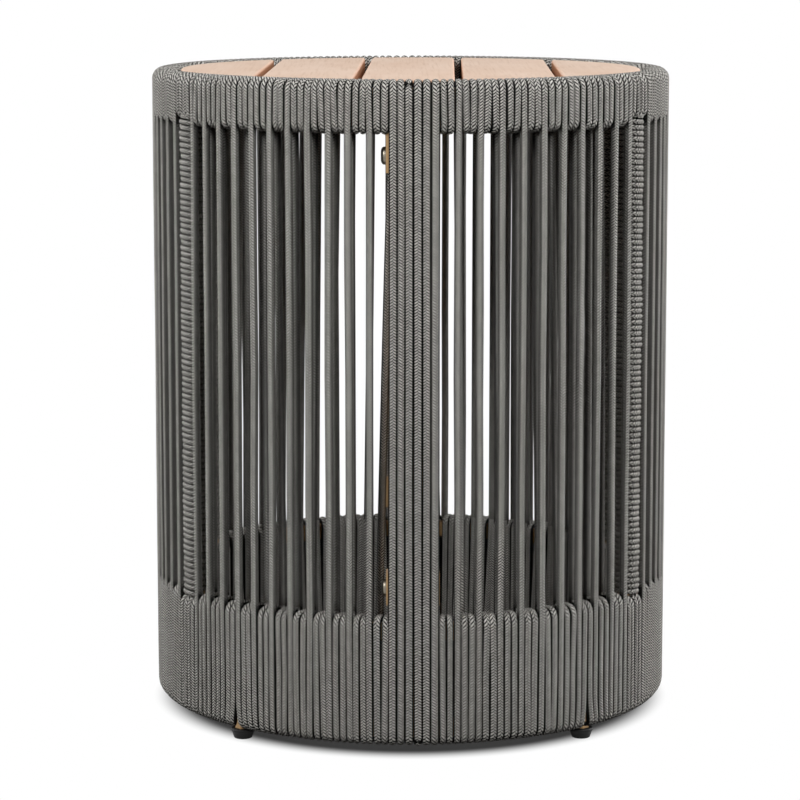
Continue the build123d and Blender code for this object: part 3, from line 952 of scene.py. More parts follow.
@dataclass
class WoundHalf:
    """The cord of the right half drum, in one winding that runs towards the front seam.

    Each strand comes over the rim and down outside, goes under the lower band, makes two turns round that
    band, rises inside as an inner strand, makes two turns round the rim and comes down as the next strand.
    On its way a turn moves sideways by one pitch: most of it under the band and over it, the rest inside.

    Args:
        under: pitches that a turn moves under the band.
        over: pitches that it moves over the band.
        halfway: pitches that it has moved, or has still to move, at the rail's middle.
        ring_lean: how far a single turn leans to one side under the band, and to the other over it.
        turn_fill: half width of a turn in pitches, before the cord's own width limits it.
        lean: sideways chance of an inner strand, in pitches.
        part_width: how far the cords stand aside at a foot, outside the band.
        part_under: the same under the band.
        part_height: height over which they close again.
        part_reach: distance along the band over which they close again.
        part_inside: depth over which they close at the inner face.
        part_fade: power of the fade with the height.
        post_tuck: how far the cords over a post end inside the band's edge.
        start_top: side and height of the first strand's upper end.
        start_low: side and height of its lower end.
        start_reach: its distance from the axis.
    """

    drum: Drum
    half: Half
    bend: float = 5.0 * MM
    open_panel: Panel = Panel(9.5, 54.3, 10, -0.8, (1.8, 2.6))
    side_panel: Panel = Panel(63.0, 117.0, 13)
    close_panel: Panel = Panel(124.95, 170.8, 11, 0.6, (3.3, 3.25))
    open_turns: Pair = (1.58, 3.1)
    close_turns: Pair = (1.61, 3.3)
    cords_over_post: int = 4
    under: float = 0.45
    over: float = 0.4
    halfway: float = 0.2
    ring_lean: float = 0.3
    strand_stations: int = 5
    strand_width: float = 2.85 * MM
    turn_fill: float = 0.53
    sway: float = 0.06
    strand_sway: float = 0.05
    lean: float = 0.18
    depth_sway: float = 0.12 * MM
    width_sway: float = 0.03
    part_width: float = 2.7 * MM
    part_under: float = 6.0 * MM
    part_height: float = 20.0 * MM
    part_reach: float = 14.0 * MM
    part_inside: float = 4.0 * MM
    part_fade: float = 1.5
    post_tuck: float = 4.8 * MM
    start_top: Pair = (-15.2 * MM, 446.0 * MM)
    start_low: Pair = (-24.4 * MM, 104.0 * MM)
    start_reach: float = 181.4 * MM
    start_points: int = 9
    start_bow: float = 0.85

    TURNS = (1.0, 2.0)
    LEAN_SHAPE = (-1.0, 0.0, 1.0)

    def __post_init__(self) -> None:
        """Start the half's own run of chance and its empty lists of skins."""
        self.chance = np.random.default_rng(WINDING_SEEDS[self.half])
        self.rim: list[Skin] = []
        self.base: list[Skin] = []
        self.outside: list[Skin] = []
        self.inside: list[Skin] = []

    def winding_route(self, panel: Panel) -> tuple[Route, list[int]]:
        """The route from one strand's crest to the next strand's crest.

        Args:
            panel: the panel that the strands stand in.

        Returns:
            The route, and the numbers of the stations where the outer strand, the lower turns and the inner
            strand end.
        """
        d = self.drum
        middle = d.rail_middle
        rows = [(middle, d.crest, -self.halfway), (d.outer, d.crest, 0.0)]
        heights = np.linspace(d.rim_low, d.base_top, self.strand_stations)
        rows += [(d.outer, height, 0.0) for height in heights]
        rows += [(d.outer, d.base_low, 0.0)]
        ends = [len(rows)]
        rows += [(middle, d.base_low, self.halfway), (d.inner, d.base_low, self.under)]
        for turn in self.TURNS:
            rows += [(d.inner, d.base_top, turn - self.over), (d.outer, d.base_top, turn)]
            rows += [(d.outer, 0.5 * (d.base_top + d.base_low), turn)]
            rows += [(d.outer, d.base_low, turn), (d.inner, d.base_low, turn + self.under)]
        ends.append(len(rows))
        low_end, high_end = panel.rise
        rows += [(d.inner, d.base_top + d.cord / 2, low_end)]
        rows += [(d.inner, 0.5 * (d.base_top + d.rim_low), 0.5 * (low_end + high_end))]
        ends.append(len(rows))
        rows += [(d.inner, d.rim_low - d.cord / 2, high_end)]
        for turn in self.TURNS:
            rows += [(d.inner, d.crest, turn - self.over), (d.outer, d.crest, turn)]
            rows += [(d.outer, d.rim_low, turn), (d.inner, d.rim_low, turn + self.under)]
        next_strand = float(panel.CORDS_PER_STRAND)
        rows += [(d.inner, d.crest, next_strand - self.over), (middle, d.crest, next_strand - self.halfway)]
        return Route(np.array(rows), self.bend), ends

    def parted(self, azimuth: np.ndarray, radius: np.ndarray, height: np.ndarray) -> np.ndarray:
        """Azimuths pushed aside round a foot: by w * exp(-|s| / reach) at the distance s along the band.

        The width w is greatest under the band and fades with the height.
        """
        d = self.drum
        rise = np.clip(1.0 - (height - d.base_low) / self.part_height, 0.0, 1.0)
        outward = np.clip((radius - d.rail_middle) / (d.outer - d.rail_middle), 0.0, 1.0)
        inward = np.clip((radius - d.inner) / self.part_inside, 0.0, 1.0)
        width = (self.part_under + (self.part_width - self.part_under) * outward) * inward
        moved = azimuth
        for foot in np.radians([d.foot_azimuth, 180.0 - d.foot_azimuth]):
            along = (azimuth - foot) * radius
            push = width * rise**self.part_fade * np.exp(-np.abs(along) / self.part_reach)
            moved = moved + np.where(along < 0, -push, push) / radius
        return moved

    def lay(self, route: Route, azimuth: np.ndarray, pitch: np.ndarray, wide: np.ndarray,
            sway: np.ndarray) -> CordRun:
        """Lay like cords along a route.

        Args:
            route: the route in the upright plane.
            azimuth: where each cord's offset is 0, in degrees.
            pitch: angle from cord to cord, in degrees.
            wide: half widths at the stations.
            sway: sideways chance at the stations, in pitches.

        Returns:
            The cords.
        """
        count = len(azimuth)
        offset = route.stations[None, :, 2] + sway
        depth = self.chance.normal(0.0, self.depth_sway, sway.shape)
        angle = np.radians(azimuth[:, None] - pitch[:, None] * route.spread(offset))
        radius = route.points[None, :, 0] + np.minimum(route.spread(depth), 0.0)
        height = np.broadcast_to(route.points[None, :, 1], angle.shape)
        angle = self.parted(angle, radius, height)
        path = np.stack([radius * np.sin(angle), -radius * np.cos(angle), height], -1)
        across = np.stack([np.cos(angle), np.sin(angle), np.zeros_like(angle)], -1)
        start = self.chance.uniform(0.0, CordRun.LONGEST_START, count)
        breadth = route.spread(wide) * self.chance.normal(1.0, self.width_sway, (count, 1))
        return CordRun.laid(path, across, breadth, self.drum.cord / 2, start, route.closed)

    def wind_panel(self, panel: Panel) -> None:
        """Strands of a panel with the turns between them."""
        route, ends = self.winding_route(panel)
        outer_end, base_end, inner_end = ends
        rising = slice(base_end, inner_end + 1)
        azimuth = panel.azimuths()
        count = len(azimuth)
        stations = len(route.stations)
        wide = np.full(stations, self.turn_width(panel.mean_pitch()))
        wide[:outer_end] = self.strand_width
        wide[rising] = self.strand_width
        sway = self.chance.normal(0.0, self.sway, (count, stations))
        sway[:, :outer_end] = self.chance.normal(0.0, self.strand_sway, (count, outer_end))
        sway[:, rising] += self.chance.normal(0.0, self.lean, (count, 1))
        sway[:, rising] += self.chance.normal(0.0, self.lean, (count, 1)) * self.LEAN_SHAPE
        sway[:, [0, -1]] = 0.0
        cords = self.lay(route, azimuth, panel.pitches(), wide, sway)
        splits = [0] + [int(route.marks[end]) for end in ends] + [len(route.points) - 1]
        self.outside.append(cords.part(splits[0], splits[1]).skin())
        for skins, first, last in zip((self.base, self.inside, self.rim), splits[1:], splits[2:]):
            skins.append(cords.part(first, last, cords=-1).skin())
        self.close_panel_ends(azimuth, panel.pitches())

    def close_panel_ends(self, azimuth: np.ndarray, pitch: np.ndarray) -> None:
        """Tuck in the start of a panel's first strand at the rim and the end of its last strand below."""
        d = self.drum
        head = [(d.inner, d.rim_low, -self.over), (d.inner, d.crest, -self.over),
                (d.rail_middle, d.crest, -self.halfway)]
        tail = [(d.rail_middle, d.base_low, self.halfway), (d.inner, d.base_low, self.under),
                (d.inner, d.base_top, 1.0 - self.over)]
        for rows, end, skins in ((head, slice(0, 1), self.rim), (tail, slice(-1, None), self.base)):
            wide = np.full(len(rows), d.cord / 2)
            still = np.zeros((1, len(rows)))
            route = Route(np.array(rows), self.bend)
            skins.append(self.lay(route, azimuth[end], pitch[end], wide, still).skin())

    def lay_start(self) -> None:
        """The first strand, by the rear joining bolts of a right half, leaning away from the seam post."""
        share = np.linspace(0.0, 1.0, self.start_points)
        side = self.start_top[0] + (self.start_low[0] - self.start_top[0]) * share**self.start_bow
        height = self.start_top[1] + (self.start_low[1] - self.start_top[1]) * share
        path = np.stack([-side, np.sqrt(self.start_reach**2 - side**2), height], -1)[None]
        across = np.broadcast_to(np.array([1.0, 0.0, 0.0]), path.shape)
        wide = np.array(self.strand_width)
        run = CordRun.laid(path, across, wide, self.drum.cord / 2, np.zeros(1))
        self.inside.append(run.round_ends().skin())

    def turn_width(self, pitch: float) -> float:
        """Half the width of a turn squeezed between its neighbours."""
        return min(self.drum.cord / 2, self.turn_fill * math.radians(pitch) * self.drum.outer)

    def wind_turns(self, route: Route, azimuths: np.ndarray, pitch: float, skins: list[Skin]) -> None:
        """Single turns of one width along a route."""
        sway = self.chance.normal(0.0, self.sway, (len(azimuths), len(route.stations)))
        wide = np.full(len(route.stations), self.turn_width(pitch))
        skins.append(self.lay(route, azimuths, np.full(len(azimuths), pitch), wide, sway).skin())

    def wind_seam_end(self, azimuths: np.ndarray) -> None:
        """Single turns between a seam's upright cords and the strand next to them."""
        d = self.drum
        pitch = abs(azimuths[1] - azimuths[0])
        for low, high, skins in ((d.rim_low, d.crest, self.rim), (d.base_low, d.base_top, self.base)):
            rows = [(d.outer, high, 0.0), (d.outer, low, 0.0),
                    (d.inner, low, self.ring_lean), (d.inner, high, -self.ring_lean)]
            self.wind_turns(Route(np.array(rows), self.bend, closed=True), azimuths, pitch, skins)

    def wind_over_post(self, first: float, last: float) -> None:
        """Cords over a side post, which start and end at the rail because the post is in their way."""
        d = self.drum
        azimuths = np.linspace(last, first, self.cords_over_post + 2)[1:-1]
        pitch = (last - first) / (self.cords_over_post + 1)
        rim_stop = d.rim_low + self.post_tuck
        base_stop = d.base_top - self.post_tuck
        for stop, turn, skins in ((rim_stop, d.crest, self.rim), (base_stop, d.base_low, self.base)):
            rows = [(d.rail_middle, stop, 0.0), (d.inner, stop, 0.0), (d.inner, turn, 0.0),
                    (d.outer, turn, 0.0), (d.outer, stop, 0.0), (d.rail_middle, stop, 0.0)]
            self.wind_turns(Route(np.array(rows), self.bend), azimuths, pitch, skins)

    def build(self, finish: bpy.types.Material, strand_finish: bpy.types.Material) -> None:
        """Wind the half and put its four pieces in place of the solids that stand for them."""
        self.lay_start()
        for panel in (self.close_panel, self.side_panel, self.open_panel):
            self.wind_panel(panel)
        self.wind_seam_end(self.open_panel.first - np.array(self.open_turns))
        self.wind_seam_end(self.close_panel.last + np.array(self.close_turns))
        self.wind_over_post(self.open_panel.last, self.side_panel.first)
        self.wind_over_post(self.side_panel.last, self.close_panel.first)
        pieces = (
            ("rim_turns", self.rim, "rim_wrap", finish),
            ("base_turns", self.base, "base_wrap", finish),
            ("outer_cords", self.outside, "outer_strands", strand_finish),
            ("inner_cords", self.inside, "inner_strands", strand_finish),
        )
        word = self.half.value
        for name, skins, node, cord_finish in pieces:
            skin = Skin.joined(skins)
            if self.half is Half.LEFT:
                skin = skin.turned_half_round()
            piece = skin.to_object(f"{word}_{name}")
            place_piece(piece, cord_finish, TABLE_BODY, f"{word}_{node}")


@dataclass
class Whipping:
    """One long cord wound closely round a side post, as a helix on a rounded square.

    Args:
        post: the post's width.
        pitch: rise of each turn.
        squareness: the power n of the turn's outline.
        fill: half width of the cord in pitches.
        over_top: how far the last turn stands above the post.
        sway: chance in the cord's distance from the post's middle.
        sway_steps: points that share one such chance.
    """

    drum: Drum
    end: str
    half: Half
    post: float = 8.0 * MM
    pitch: float = 4.3 * MM
    steps_per_turn: int = 24
    squareness: float = 3.2
    fill: float = 0.51
    over_top: float = 5.4 * MM
    sway: float = 0.3 * MM
    sway_steps: int = 8

    def squared(self, wave: np.ndarray) -> np.ndarray:
        """A sine or cosine drawn out towards the corners of the rounded square."""
        return np.sign(wave) * np.abs(wave) ** (2.0 / self.squareness)

    def build(self, finish: bpy.types.Material) -> None:
        """Wind the cord: the turn's outline is |x|^n + |y|^n = reach^n, and it climbs a pitch each turn."""
        d = self.drum
        node = f"{self.end}_{self.half.value}_side_post"
        radius, azimuth = d.polar_of(node)
        low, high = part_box(node)
        bottom = low.z + d.cord / 2
        turns = (high.z + self.over_top - bottom) / self.pitch
        count = int(turns * self.steps_per_turn)
        chance = np.random.default_rng(int(WHIPPING_SEED + azimuth))
        turn = np.linspace(0.0, FULL_TURN * turns, count)
        wobble = chance.normal(0.0, self.sway, count // self.sway_steps + 1)
        reach = self.post / 2 + d.cord / 2 + np.repeat(wobble, self.sway_steps)[:count]
        side = reach * self.squared(np.cos(turn))
        out = reach * self.squared(np.sin(turn))
        angle = math.radians(azimuth)
        along = np.array([math.cos(angle), math.sin(angle), 0.0])
        outward = np.array([math.sin(angle), -math.cos(angle), 0.0])
        path = radius * outward + side[:, None] * along + out[:, None] * outward
        path[:, 2] = bottom + turn / FULL_TURN * self.pitch
        up = np.broadcast_to(np.array([0.0, 0.0, 1.0]), path.shape)
        run = CordRun.laid(path[None], up[None], np.array(self.fill * self.pitch), d.cord / 2, np.zeros(1))
        name = f"{self.end}_{self.half.value}_whipping"
        place_piece(run.skin().to_object(f"{name}_cord"), finish, TABLE_BODY, name)


@dataclass
class SeamCords:
    """Upright cords side by side over a seam, hooked over the rim and under the lower band.

    Args:
        places: sideways places of the cords at the rim.
        low_places: their places at the lower band.
        half_widths: half the width of each cord.
        cut_above: number of the cord that ends under the rim.
        cut_below: number of the cord that ends over the lower band.
        levels: stations along a cord between the rim and the lower band.
        hook: height of the hook inside the rim, and twice that of the lower one.
        cut_gap: gap at the cut end under the rim.
        low_gap: gap at the cut end over the lower band.
        sway: sideways chance at the stations.
    """

    drum: Drum
    end: str
    places: tuple[float, ...] = (-14.3 * MM, -8.7 * MM, -3.0 * MM, 3.2 * MM, 9.7 * MM, 16.1 * MM)
    low_places: tuple[float, ...] = (-15.0 * MM, -8.8 * MM, -2.7 * MM, 3.7 * MM, 10.0 * MM, 16.1 * MM)
    half_widths: tuple[float, ...] = (3.15 * MM, 3.05 * MM, 3.15 * MM, 3.3 * MM, 3.2 * MM, 3.25 * MM)
    cut_above: int = 2
    cut_below: int = 3
    levels: int = 4
    bend: float = 5.0 * MM
    hook: float = 24.0 * MM
    cut_gap: float = 1.4 * MM
    low_gap: float = 1.0 * MM
    sway: float = 0.14 * MM

    def build(self, finish: bpy.types.Material) -> None:
        """Lay the whole cords, and the two that show a cut end, each as a cord and a short hook."""
        d = self.drum
        half = d.cord / 2
        low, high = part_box(f"{self.end}_seam_cords")
        inner = min(abs(low.y), abs(high.y)) + half
        outer = max(abs(low.y), abs(high.y)) - half
        top = (outer, d.crest)
        bottom = (outer, d.base_low)
        top_hook = [(inner, d.crest - self.hook), (inner, d.crest)]
        low_hook = [(inner, d.base_low), (inner, d.base_low + self.hook / 2)]
        run = [(outer, level) for level in np.linspace(d.crest, d.base_low, self.levels + 2)[1:-1]]
        under_rim = (outer, d.crest - half - self.cut_gap)
        over_base = (outer, d.base_low + half + self.low_gap)
        plain = [cord for cord in range(len(self.places)) if cord not in (self.cut_above, self.cut_below)]
        laid = (
            (top_hook + [top] + run + [bottom] + low_hook, plain),
            ([under_rim] + run + [bottom] + low_hook, [self.cut_above]),
            (top_hook + [(outer - half, d.crest)], [self.cut_above]),
            (top_hook + [top] + run + [over_base], [self.cut_below]),
            ([(outer - half, d.base_low)] + low_hook, [self.cut_below]),
        )
        chance = np.random.default_rng(SEAM_SEEDS[self.end])
        skin = Skin.joined([self.lay(rows, cords, chance) for rows, cords in laid])
        if self.end == "rear":
            skin = skin.turned_half_round()
        piece = skin.to_object(f"{self.end}_seam_cord_panel")
        place_piece(piece, finish, TABLE_BODY, f"{self.end}_seam_cords")

    def lay(self, rows: list[Pair], cords: Sequence[int], chance: np.random.Generator) -> Skin:
        """Some of the cords along one route across the seam, with half-round ends."""
        d = self.drum
        stations = np.array([(reach, height, 0.0) for reach, height in rows])
        route = Route(stations, self.bend)
        measures = (self.places, self.low_places, self.half_widths)
        upper, lower, wide = [np.array(values)[cords][:, None] for values in measures]
        fall = np.clip((d.rim_low - stations[:, 1]) / (d.rim_low - d.base_top), 0.0, 1.0)
        offset = upper + (lower - upper) * fall + chance.normal(0.0, self.sway, (len(cords), len(rows)))
        shift = route.spread(offset)
        reach = np.broadcast_to(route.points[None, :, 0], shift.shape)
        height = np.broadcast_to(route.points[None, :, 1], shift.shape)
        path = np.stack([shift, -reach, height], -1)
        across = np.broadcast_to(np.array([1.0, 0.0, 0.0]), path.shape)
        start = chance.uniform(0.0, CordRun.LONGEST_START, len(cords))
        return CordRun.laid(path, across, wide, d.cord / 2, start).round_ends().skin()


# Wooden top

@dataclass
class SlatTop:
    """Five slats cut to one round, each with rounded upper edges. The whole top sits a little turned.

    Args:
        names: the slats' nodes from left to right.
        ease: radius of the upper edges.
        under_ease: radius of the lower edges.
        turn: how far the top is turned, in degrees.
        tip: share of the radius at which an end slat's tip is cut off.
        end_share: share of the radius that only an end slat reaches.
        grain_steps: how far the grain's start moves from slat to slat, on Y with the number's square.
        crisp: angle above which an edge stays sharp, in degrees.
    """

    names: tuple[str, ...] = ("far_left_slat", "left_slat", "centre_slat", "right_slat", "far_right_slat")
    ease: float = 2.2 * MM
    under_ease: float = 0.6 * MM
    ease_steps: int = 6
    arc_points: int = 40
    side_points: int = 30
    turn: float = -1.25
    tip: float = 0.9999
    end_share: float = 0.99
    grain_steps: Triple = (1.7, 0.9, 0.4)
    crisp: float = 50.0

    def outline(self, left: float, right: float, radius: float) -> np.ndarray:
        """A strip of a disc: the front arc from left to right, then the rear arc back."""
        x = np.linspace(max(left, -radius * self.tip), min(right, radius * self.tip), self.arc_points)
        y = np.sqrt(np.maximum(radius**2 - x**2, 0.0))
        front = np.stack([x, -y], -1)
        rear = np.stack([x[::-1], y[::-1]], -1)
        share = np.linspace(0.0, 1.0, self.side_points)[1:-1, None]
        right_side = front[-1] + (rear[0] - front[-1]) * share
        left_side = rear[-1] + (front[0] - rear[-1]) * share
        return np.concatenate([front, right_side, rear, left_side])

    def slat_skin(self, node: str, radius: float) -> Skin:
        """Outlines drawn in by d and set at heights h, with d and h on quarter circles at the edges."""
        low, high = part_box(node)
        is_left_end = low.x < -self.end_share * radius
        is_right_end = high.x > self.end_share * radius
        turn = quarter_turn(self.ease_steps)
        insets = np.concatenate([self.under_ease * (1.0 - np.sin(turn)), self.ease * (1.0 - np.cos(turn))])
        heights = np.concatenate([
            low.z + self.under_ease * (1.0 - np.cos(turn)),
            high.z - self.ease + self.ease * np.sin(turn),
        ])
        rings = []
        for inset, height in zip(insets, heights):
            left = -radius if is_left_end else low.x + inset
            right = radius if is_right_end else high.x - inset
            ring = self.outline(left, right, radius - inset)
            rings.append(np.column_stack([ring, np.full(len(ring), height)]))
        angle = math.radians(self.turn)
        cosine, sine = math.cos(angle), math.sin(angle)
        points = np.stack(rings) @ np.array([[cosine, sine, 0.0], [-sine, cosine, 0.0], [0.0, 0.0, 1.0]])
        sides = points.shape[1]
        quads, _ = tube_faces(1, len(rings), sides, closed=False)
        caps = end_caps(1, len(rings), sides)
        flat = points.reshape(-1, 3)
        uv = flat[np.concatenate([quads.ravel(), caps.ravel()])][:, :2]
        return Skin.of_faces(flat, quads, caps, uv)

    def build(self) -> None:
        """Make the slats, each with its own start in the grain."""
        radius = max(abs(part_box(self.names[0])[0].x), abs(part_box(self.names[-1])[1].x))
        step_x, step_y, step_z = self.grain_steps
        for index, node in enumerate(self.names):
            start = (step_x * index, step_y * index * index, step_z * index)
            piece = self.slat_skin(node, radius).to_object(f"{node}_board", self.crisp)
            place_piece(piece, TeakFinish(f"teak_{node}", start).material(), TABLE_BODY, node)


# Feet and bolts

@dataclass
class LevellingFoot:
    """A black pad with a rounded sole edge and an eased lip.

    Args:
        ease: radius of the edges.
        lip: height of the lip.
        lip_fall: height over which the lip comes in below.
        sole_share: the sole's radius as a share of the lip's.
        hub_share: radius of the flat end faces, as a share of the sole's and the lip's.
        crisp: angle above which an edge stays sharp, in degrees.
    """

    end: str
    half: Half
    steps: int = 48
    edge_steps: int = 6
    ease: float = 1.0 * MM
    lip: float = 2.0 * MM
    lip_fall: float = 0.4 * MM
    sole_share: float = 0.78
    hub_share: float = 0.3
    crisp: float = 60.0

    def build(self, finish: bpy.types.Material) -> None:
        """Carry the pad's profile round the foot's axis."""
        body = f"{self.end}_{self.half.value}_foot"
        node = f"{body}_pad"
        low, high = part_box(node)
        centre = (low + high) / 2
        top = (high.x - low.x) / 2
        sole = top * self.sole_share
        turn = quarter_turn(self.edge_steps)
        start = [(self.hub_share * sole, low.z)]
        sole_edge = np.column_stack([sole - self.ease + self.ease * np.sin(turn),
                                     low.z + self.ease * (1.0 - np.cos(turn))])
        waist = [(top - self.ease / 2, high.z - self.lip - self.lip_fall), (top, high.z - self.lip)]
        lip_edge = np.column_stack([top - self.ease + self.ease * np.cos(turn),
                                    high.z - self.ease + self.ease * np.sin(turn)])
        profile = np.concatenate([start, sole_edge, waist, lip_edge, [(self.hub_share * top, high.z)]])
        skin = lathe_skin(profile, self.steps)
        skin.points += np.array([centre.x, centre.y, 0.0])
        place_piece(skin.to_object(f"{node}_moulding", self.crisp), finish, body, node)


@dataclass
class JoiningBolts:
    """Domed bolts with a six-sided socket, driven from the left across a seam.

    Args:
        head: the head's radius.
        edge: height of the head's upright edge.
        dome: height of the whole head.
        shank: the shank's radius.
        tip_share: radius of the shank's end, as a share of the shank's.
        chamfer: length over which the shank's end comes in.
        socket: the socket's radius.
        socket_floor: height of its floor over the seat.
        socket_rim: radius at which the dome ends, as a share of the socket's.
        socket_hub: radius of the flat end face in the socket.
        corner_reach: factor on the socket's radius at the corners of the hexagon.
        crisp: angle above which an edge stays sharp, in degrees.
    """

    end: str
    steps: int = 48
    dome_steps: int = 9
    head: float = 6.5 * MM
    edge: float = 1.2 * MM
    dome: float = 3.6 * MM
    shank: float = 3.0 * MM
    tip_share: float = 0.6
    chamfer: float = 0.8 * MM
    socket: float = 2.1 * MM
    socket_floor: float = 1.5 * MM
    socket_rim: float = 1.3
    socket_hub: float = 0.2 * MM
    corner_reach: float = 1.12
    crisp: float = 40.0

    def build(self, finish: bpy.types.Material) -> None:
        """Carry the bolt's profile round its axis. The socket's rings follow a hexagon, r / cos(t - 60k)."""
        node = f"{self.end}_joining_bolts"
        low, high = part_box(node)
        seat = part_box(f"{self.end}_left_end_post")[0].x
        tip = seat - high.x
        start = [(self.tip_share * self.shank, tip), (self.shank, tip + self.chamfer),
                 (self.shank, 0.0), (self.head, 0.0)]
        rim = self.socket * self.socket_rim
        turn = quarter_turn(self.dome_steps)
        dome = np.column_stack([rim + (self.head - rim) * np.cos(turn),
                                self.edge + (self.dome - self.edge) * np.sin(turn)])
        recess = [(self.socket, self.dome), (self.socket, self.socket_floor),
                  (self.socket_hub, self.socket_floor)]
        profile = np.concatenate([start, dome, recess])
        sixth = FULL_TURN / 6
        hexagon = math.cos(sixth / 2) / np.cos(full_turn(self.steps) % sixth - sixth / 2) * self.corner_reach
        reach = np.ones((len(profile), self.steps))
        reach[-len(recess):] = hexagon
        y = (low.y + high.y) / 2
        skins = []
        for level in (low.z + self.head, high.z - self.head):
            skin = lathe_skin(profile, self.steps, reach)
            along = np.stack([seat - skin.points[:, 2], y + skin.points[:, 0], level - skin.points[:, 1]], -1)
            skins.append(Skin(along, skin.corners, skin.sizes, skin.uv))
        piece = Skin.joined(skins).to_object(f"{self.end}_bolts", self.crisp)
        place_piece(piece, finish, TABLE_BODY, node)


# Placing

def place_piece(piece: bpy.types.Object, finish: bpy.types.Material, body: str, node: str) -> None:
    """Dress a new piece, let it ride on a body and let it stand for a node."""
    piece.data.materials.append(finish)
    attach(piece, body)
    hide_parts(node)
    LOG.info("%s stands for %s with %d faces", piece.name, node, len(piece.data.polygons))


def dress_nodes() -> None:
    """Give the solids that stay in view their finishes, by the record's material slots."""
    finishes = {
        "champagne_frame": CoatFinish().material(),
        "steel_fasteners": SteelFinish().material(),
        "teak_battens": TeakFinish("teak_battens", (7.0, 2.0, 5.0), along_x=True).material(),
    }
    for part in frame["record"]["subparts"]:
        finish = finishes.get(part["material_slot"])
        node = frame["nodes"][part["node"]]
        if finish is None or node.hide_render:
            continue
        node.data.materials.clear()
        node.data.materials.append(finish)
        LOG.info("%s is dressed in %s", node.name, finish.name)


# Studio

def look(place: Sequence[float], aim: Sequence[float]) -> Any:
    """The turn that points a lamp or a camera from a place to an aim."""
    direction = Vector(aim) - Vector(place)
    return direction.to_track_quat("-Z", "Y").to_euler()


@dataclass(frozen=True)
class SoftBox:
    """A square area lamp of a size and a power, aimed at the table's middle."""

    name: str
    place: Triple
    size: float
    power: float
    aim: Triple = (0.0, 0.0, 0.25)

    def build(self) -> None:
        """Make the lamp and turn it to its aim."""
        lamp = bpy.data.lights.new(self.name, "AREA")
        lamp.shape = "SQUARE"
        lamp.size = self.size
        lamp.energy = self.power
        made = new_object(self.name, lamp)
        made.location = self.place
        made.rotation_euler = look(self.place, self.aim)


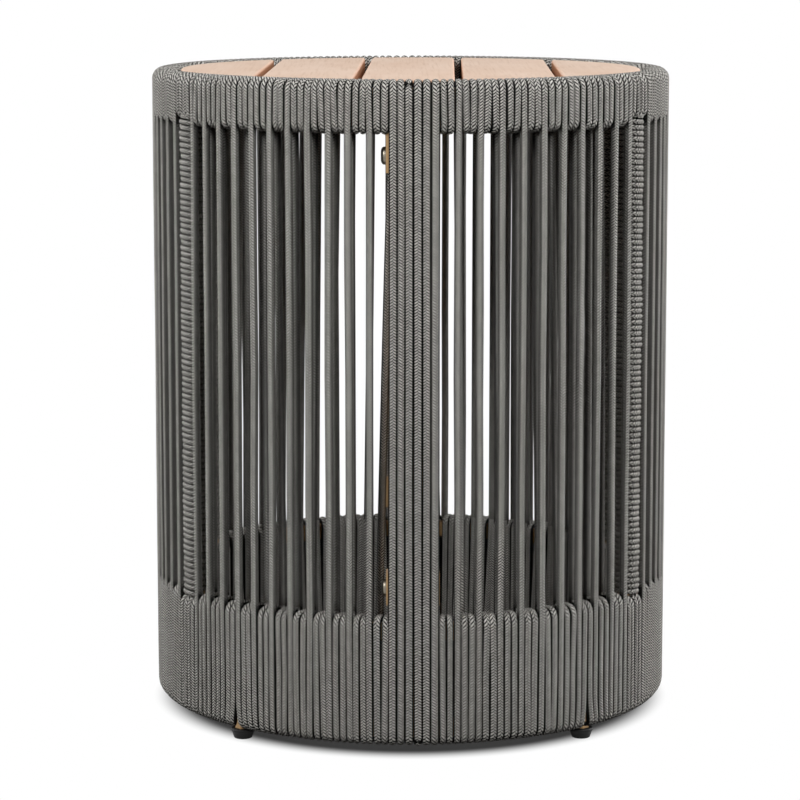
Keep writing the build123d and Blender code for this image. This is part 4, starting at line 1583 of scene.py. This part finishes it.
@dataclass
class Studio:
    """The pale floor, the soft light and the camera of the photograph's view.

    Args:
        distance: the camera's distance from the table's axis.
        eye: its height.
        pitch: how far it looks down, in degrees.
        turn: how far it stands round the table, in degrees.
        sidestep: how far it and its aim stand to the right.
        lens: focal length in mm, for a sensor of the given width in mm.
        rise: the lens's upright shift.
        sight: how far the camera sees.
        floor_hub: where the floor's innermost ring lies, as a share of its reach before the power.
        floor_power: power on the shares, which sets the rings closer together near the table.
        ambient: strength of the even light on surfaces.
    """

    distance: float = 2.336
    eye: float = 0.6078
    pitch: float = 7.874
    turn: float = -0.35
    sidestep: float = -8.2 * MM
    lens: float = 135.1
    sensor: float = 36.0
    rise: float = -0.08
    sight: float = 60.0
    floor_reach: float = 3.0
    floor_hub: float = 0.02
    floor_power: float = 1.5
    floor_rings: int = 24
    floor_steps: int = 96
    ambient: float = 0.004

    def build(self) -> None:
        """Make the floor, the world, the lamps and the camera."""
        self.make_floor()
        self.make_world()
        lamps = (
            SoftBox("front_left_box", (-0.75, -1.35, 1.35), 0.5, 20.5),
            SoftBox("front_right_box", (0.75, -1.35, 1.35), 0.5, 20.5),
            SoftBox("left_box", (-1.8, 0.6, 0.85), 0.7, 34.0),
            SoftBox("right_box", (1.8, 0.6, 0.85), 0.7, 40.0),
            SoftBox("rear_left_box", (-0.9, 1.5, 0.75), 0.5, 6.0),
            SoftBox("rear_right_box", (0.9, 1.5, 0.75), 0.5, 6.0),
        )
        for lamp in lamps:
            lamp.build()
        self.make_camera()

    def make_floor(self) -> None:
        """A round floor: (r cos t, r sin t, 0) with rings closer together near the table."""
        share = np.linspace(self.floor_hub, 1.0, self.floor_rings) ** self.floor_power
        profile = np.column_stack([share * self.floor_reach, np.zeros(self.floor_rings)])
        floor = lathe_skin(profile[::-1], self.floor_steps, start_cap=False).to_object("studio_floor")
        floor.data.materials.append(FloorFinish().material())

    def make_world(self) -> None:
        """White where it is seen directly, and a dim even light on surfaces."""
        world = bpy.data.worlds.new("studio_world")
        bpy.context.scene.world = world
        graph = Graph(world)
        strength = graph.seen_directly().between(self.ambient, 1.0)
        sky = graph.add("ShaderNodeBackground", {}, {"Color": WHITE, "Strength": strength})
        graph.add("ShaderNodeOutputWorld", {}, {"Surface": graph.out(sky, "Background")})

    def make_camera(self) -> None:
        """A level-sided view from the front, turned a little so that the seam stands right of the middle."""
        data = bpy.data.cameras.new("view_camera")
        data.lens = self.lens
        data.sensor_width = self.sensor
        data.shift_y = self.rise
        data.clip_end = self.sight
        camera = new_object("view_camera", data)
        angle = math.radians(self.turn)
        back = Vector((math.sin(angle), -math.cos(angle), 0.0))
        right = Vector((math.cos(angle), math.sin(angle), 0.0))
        place = back * self.distance + right * self.sidestep
        place.z = self.eye
        aim = right * self.sidestep
        aim.z = self.eye - math.tan(math.radians(self.pitch)) * self.distance
        camera.location = place
        camera.rotation_euler = look(place, aim)
        bpy.context.scene.camera = camera


def main() -> None:
    """Build every piece in order, then the studio round them."""
    logging.basicConfig(level=logging.INFO, format="%(name)s: %(message)s")
    bpy.context.scene.view_settings.view_transform = "Standard"
    drum = Drum()
    # The three cord materials are one cord; they differ only in how strong the painted shade on the flanks is
    # between the bands.
    cord = CordFinish("taupe_cord", drum, 0.97).material()
    strand = CordFinish("strand_cord", drum, 0.6).material()
    whipping = CordFinish("whipping_cord", drum, 0.7).material()
    steel = SteelFinish("bolt_steel").material()
    foot = FootFinish().material()
    for half in Half:
        WoundHalf(drum, half).build(cord, strand)
        for end in FRONT_BACK:
            Whipping(drum, end, half).build(whipping)
    for end in FRONT_BACK:
        SeamCords(drum, end).build(cord)
        JoiningBolts(end).build(steel)
        for half in Half:
            LevellingFoot(end, half).build(foot)
    SlatTop().build()
    dress_nodes()
    Studio().build()


if __name__ == "__main__":
    main()
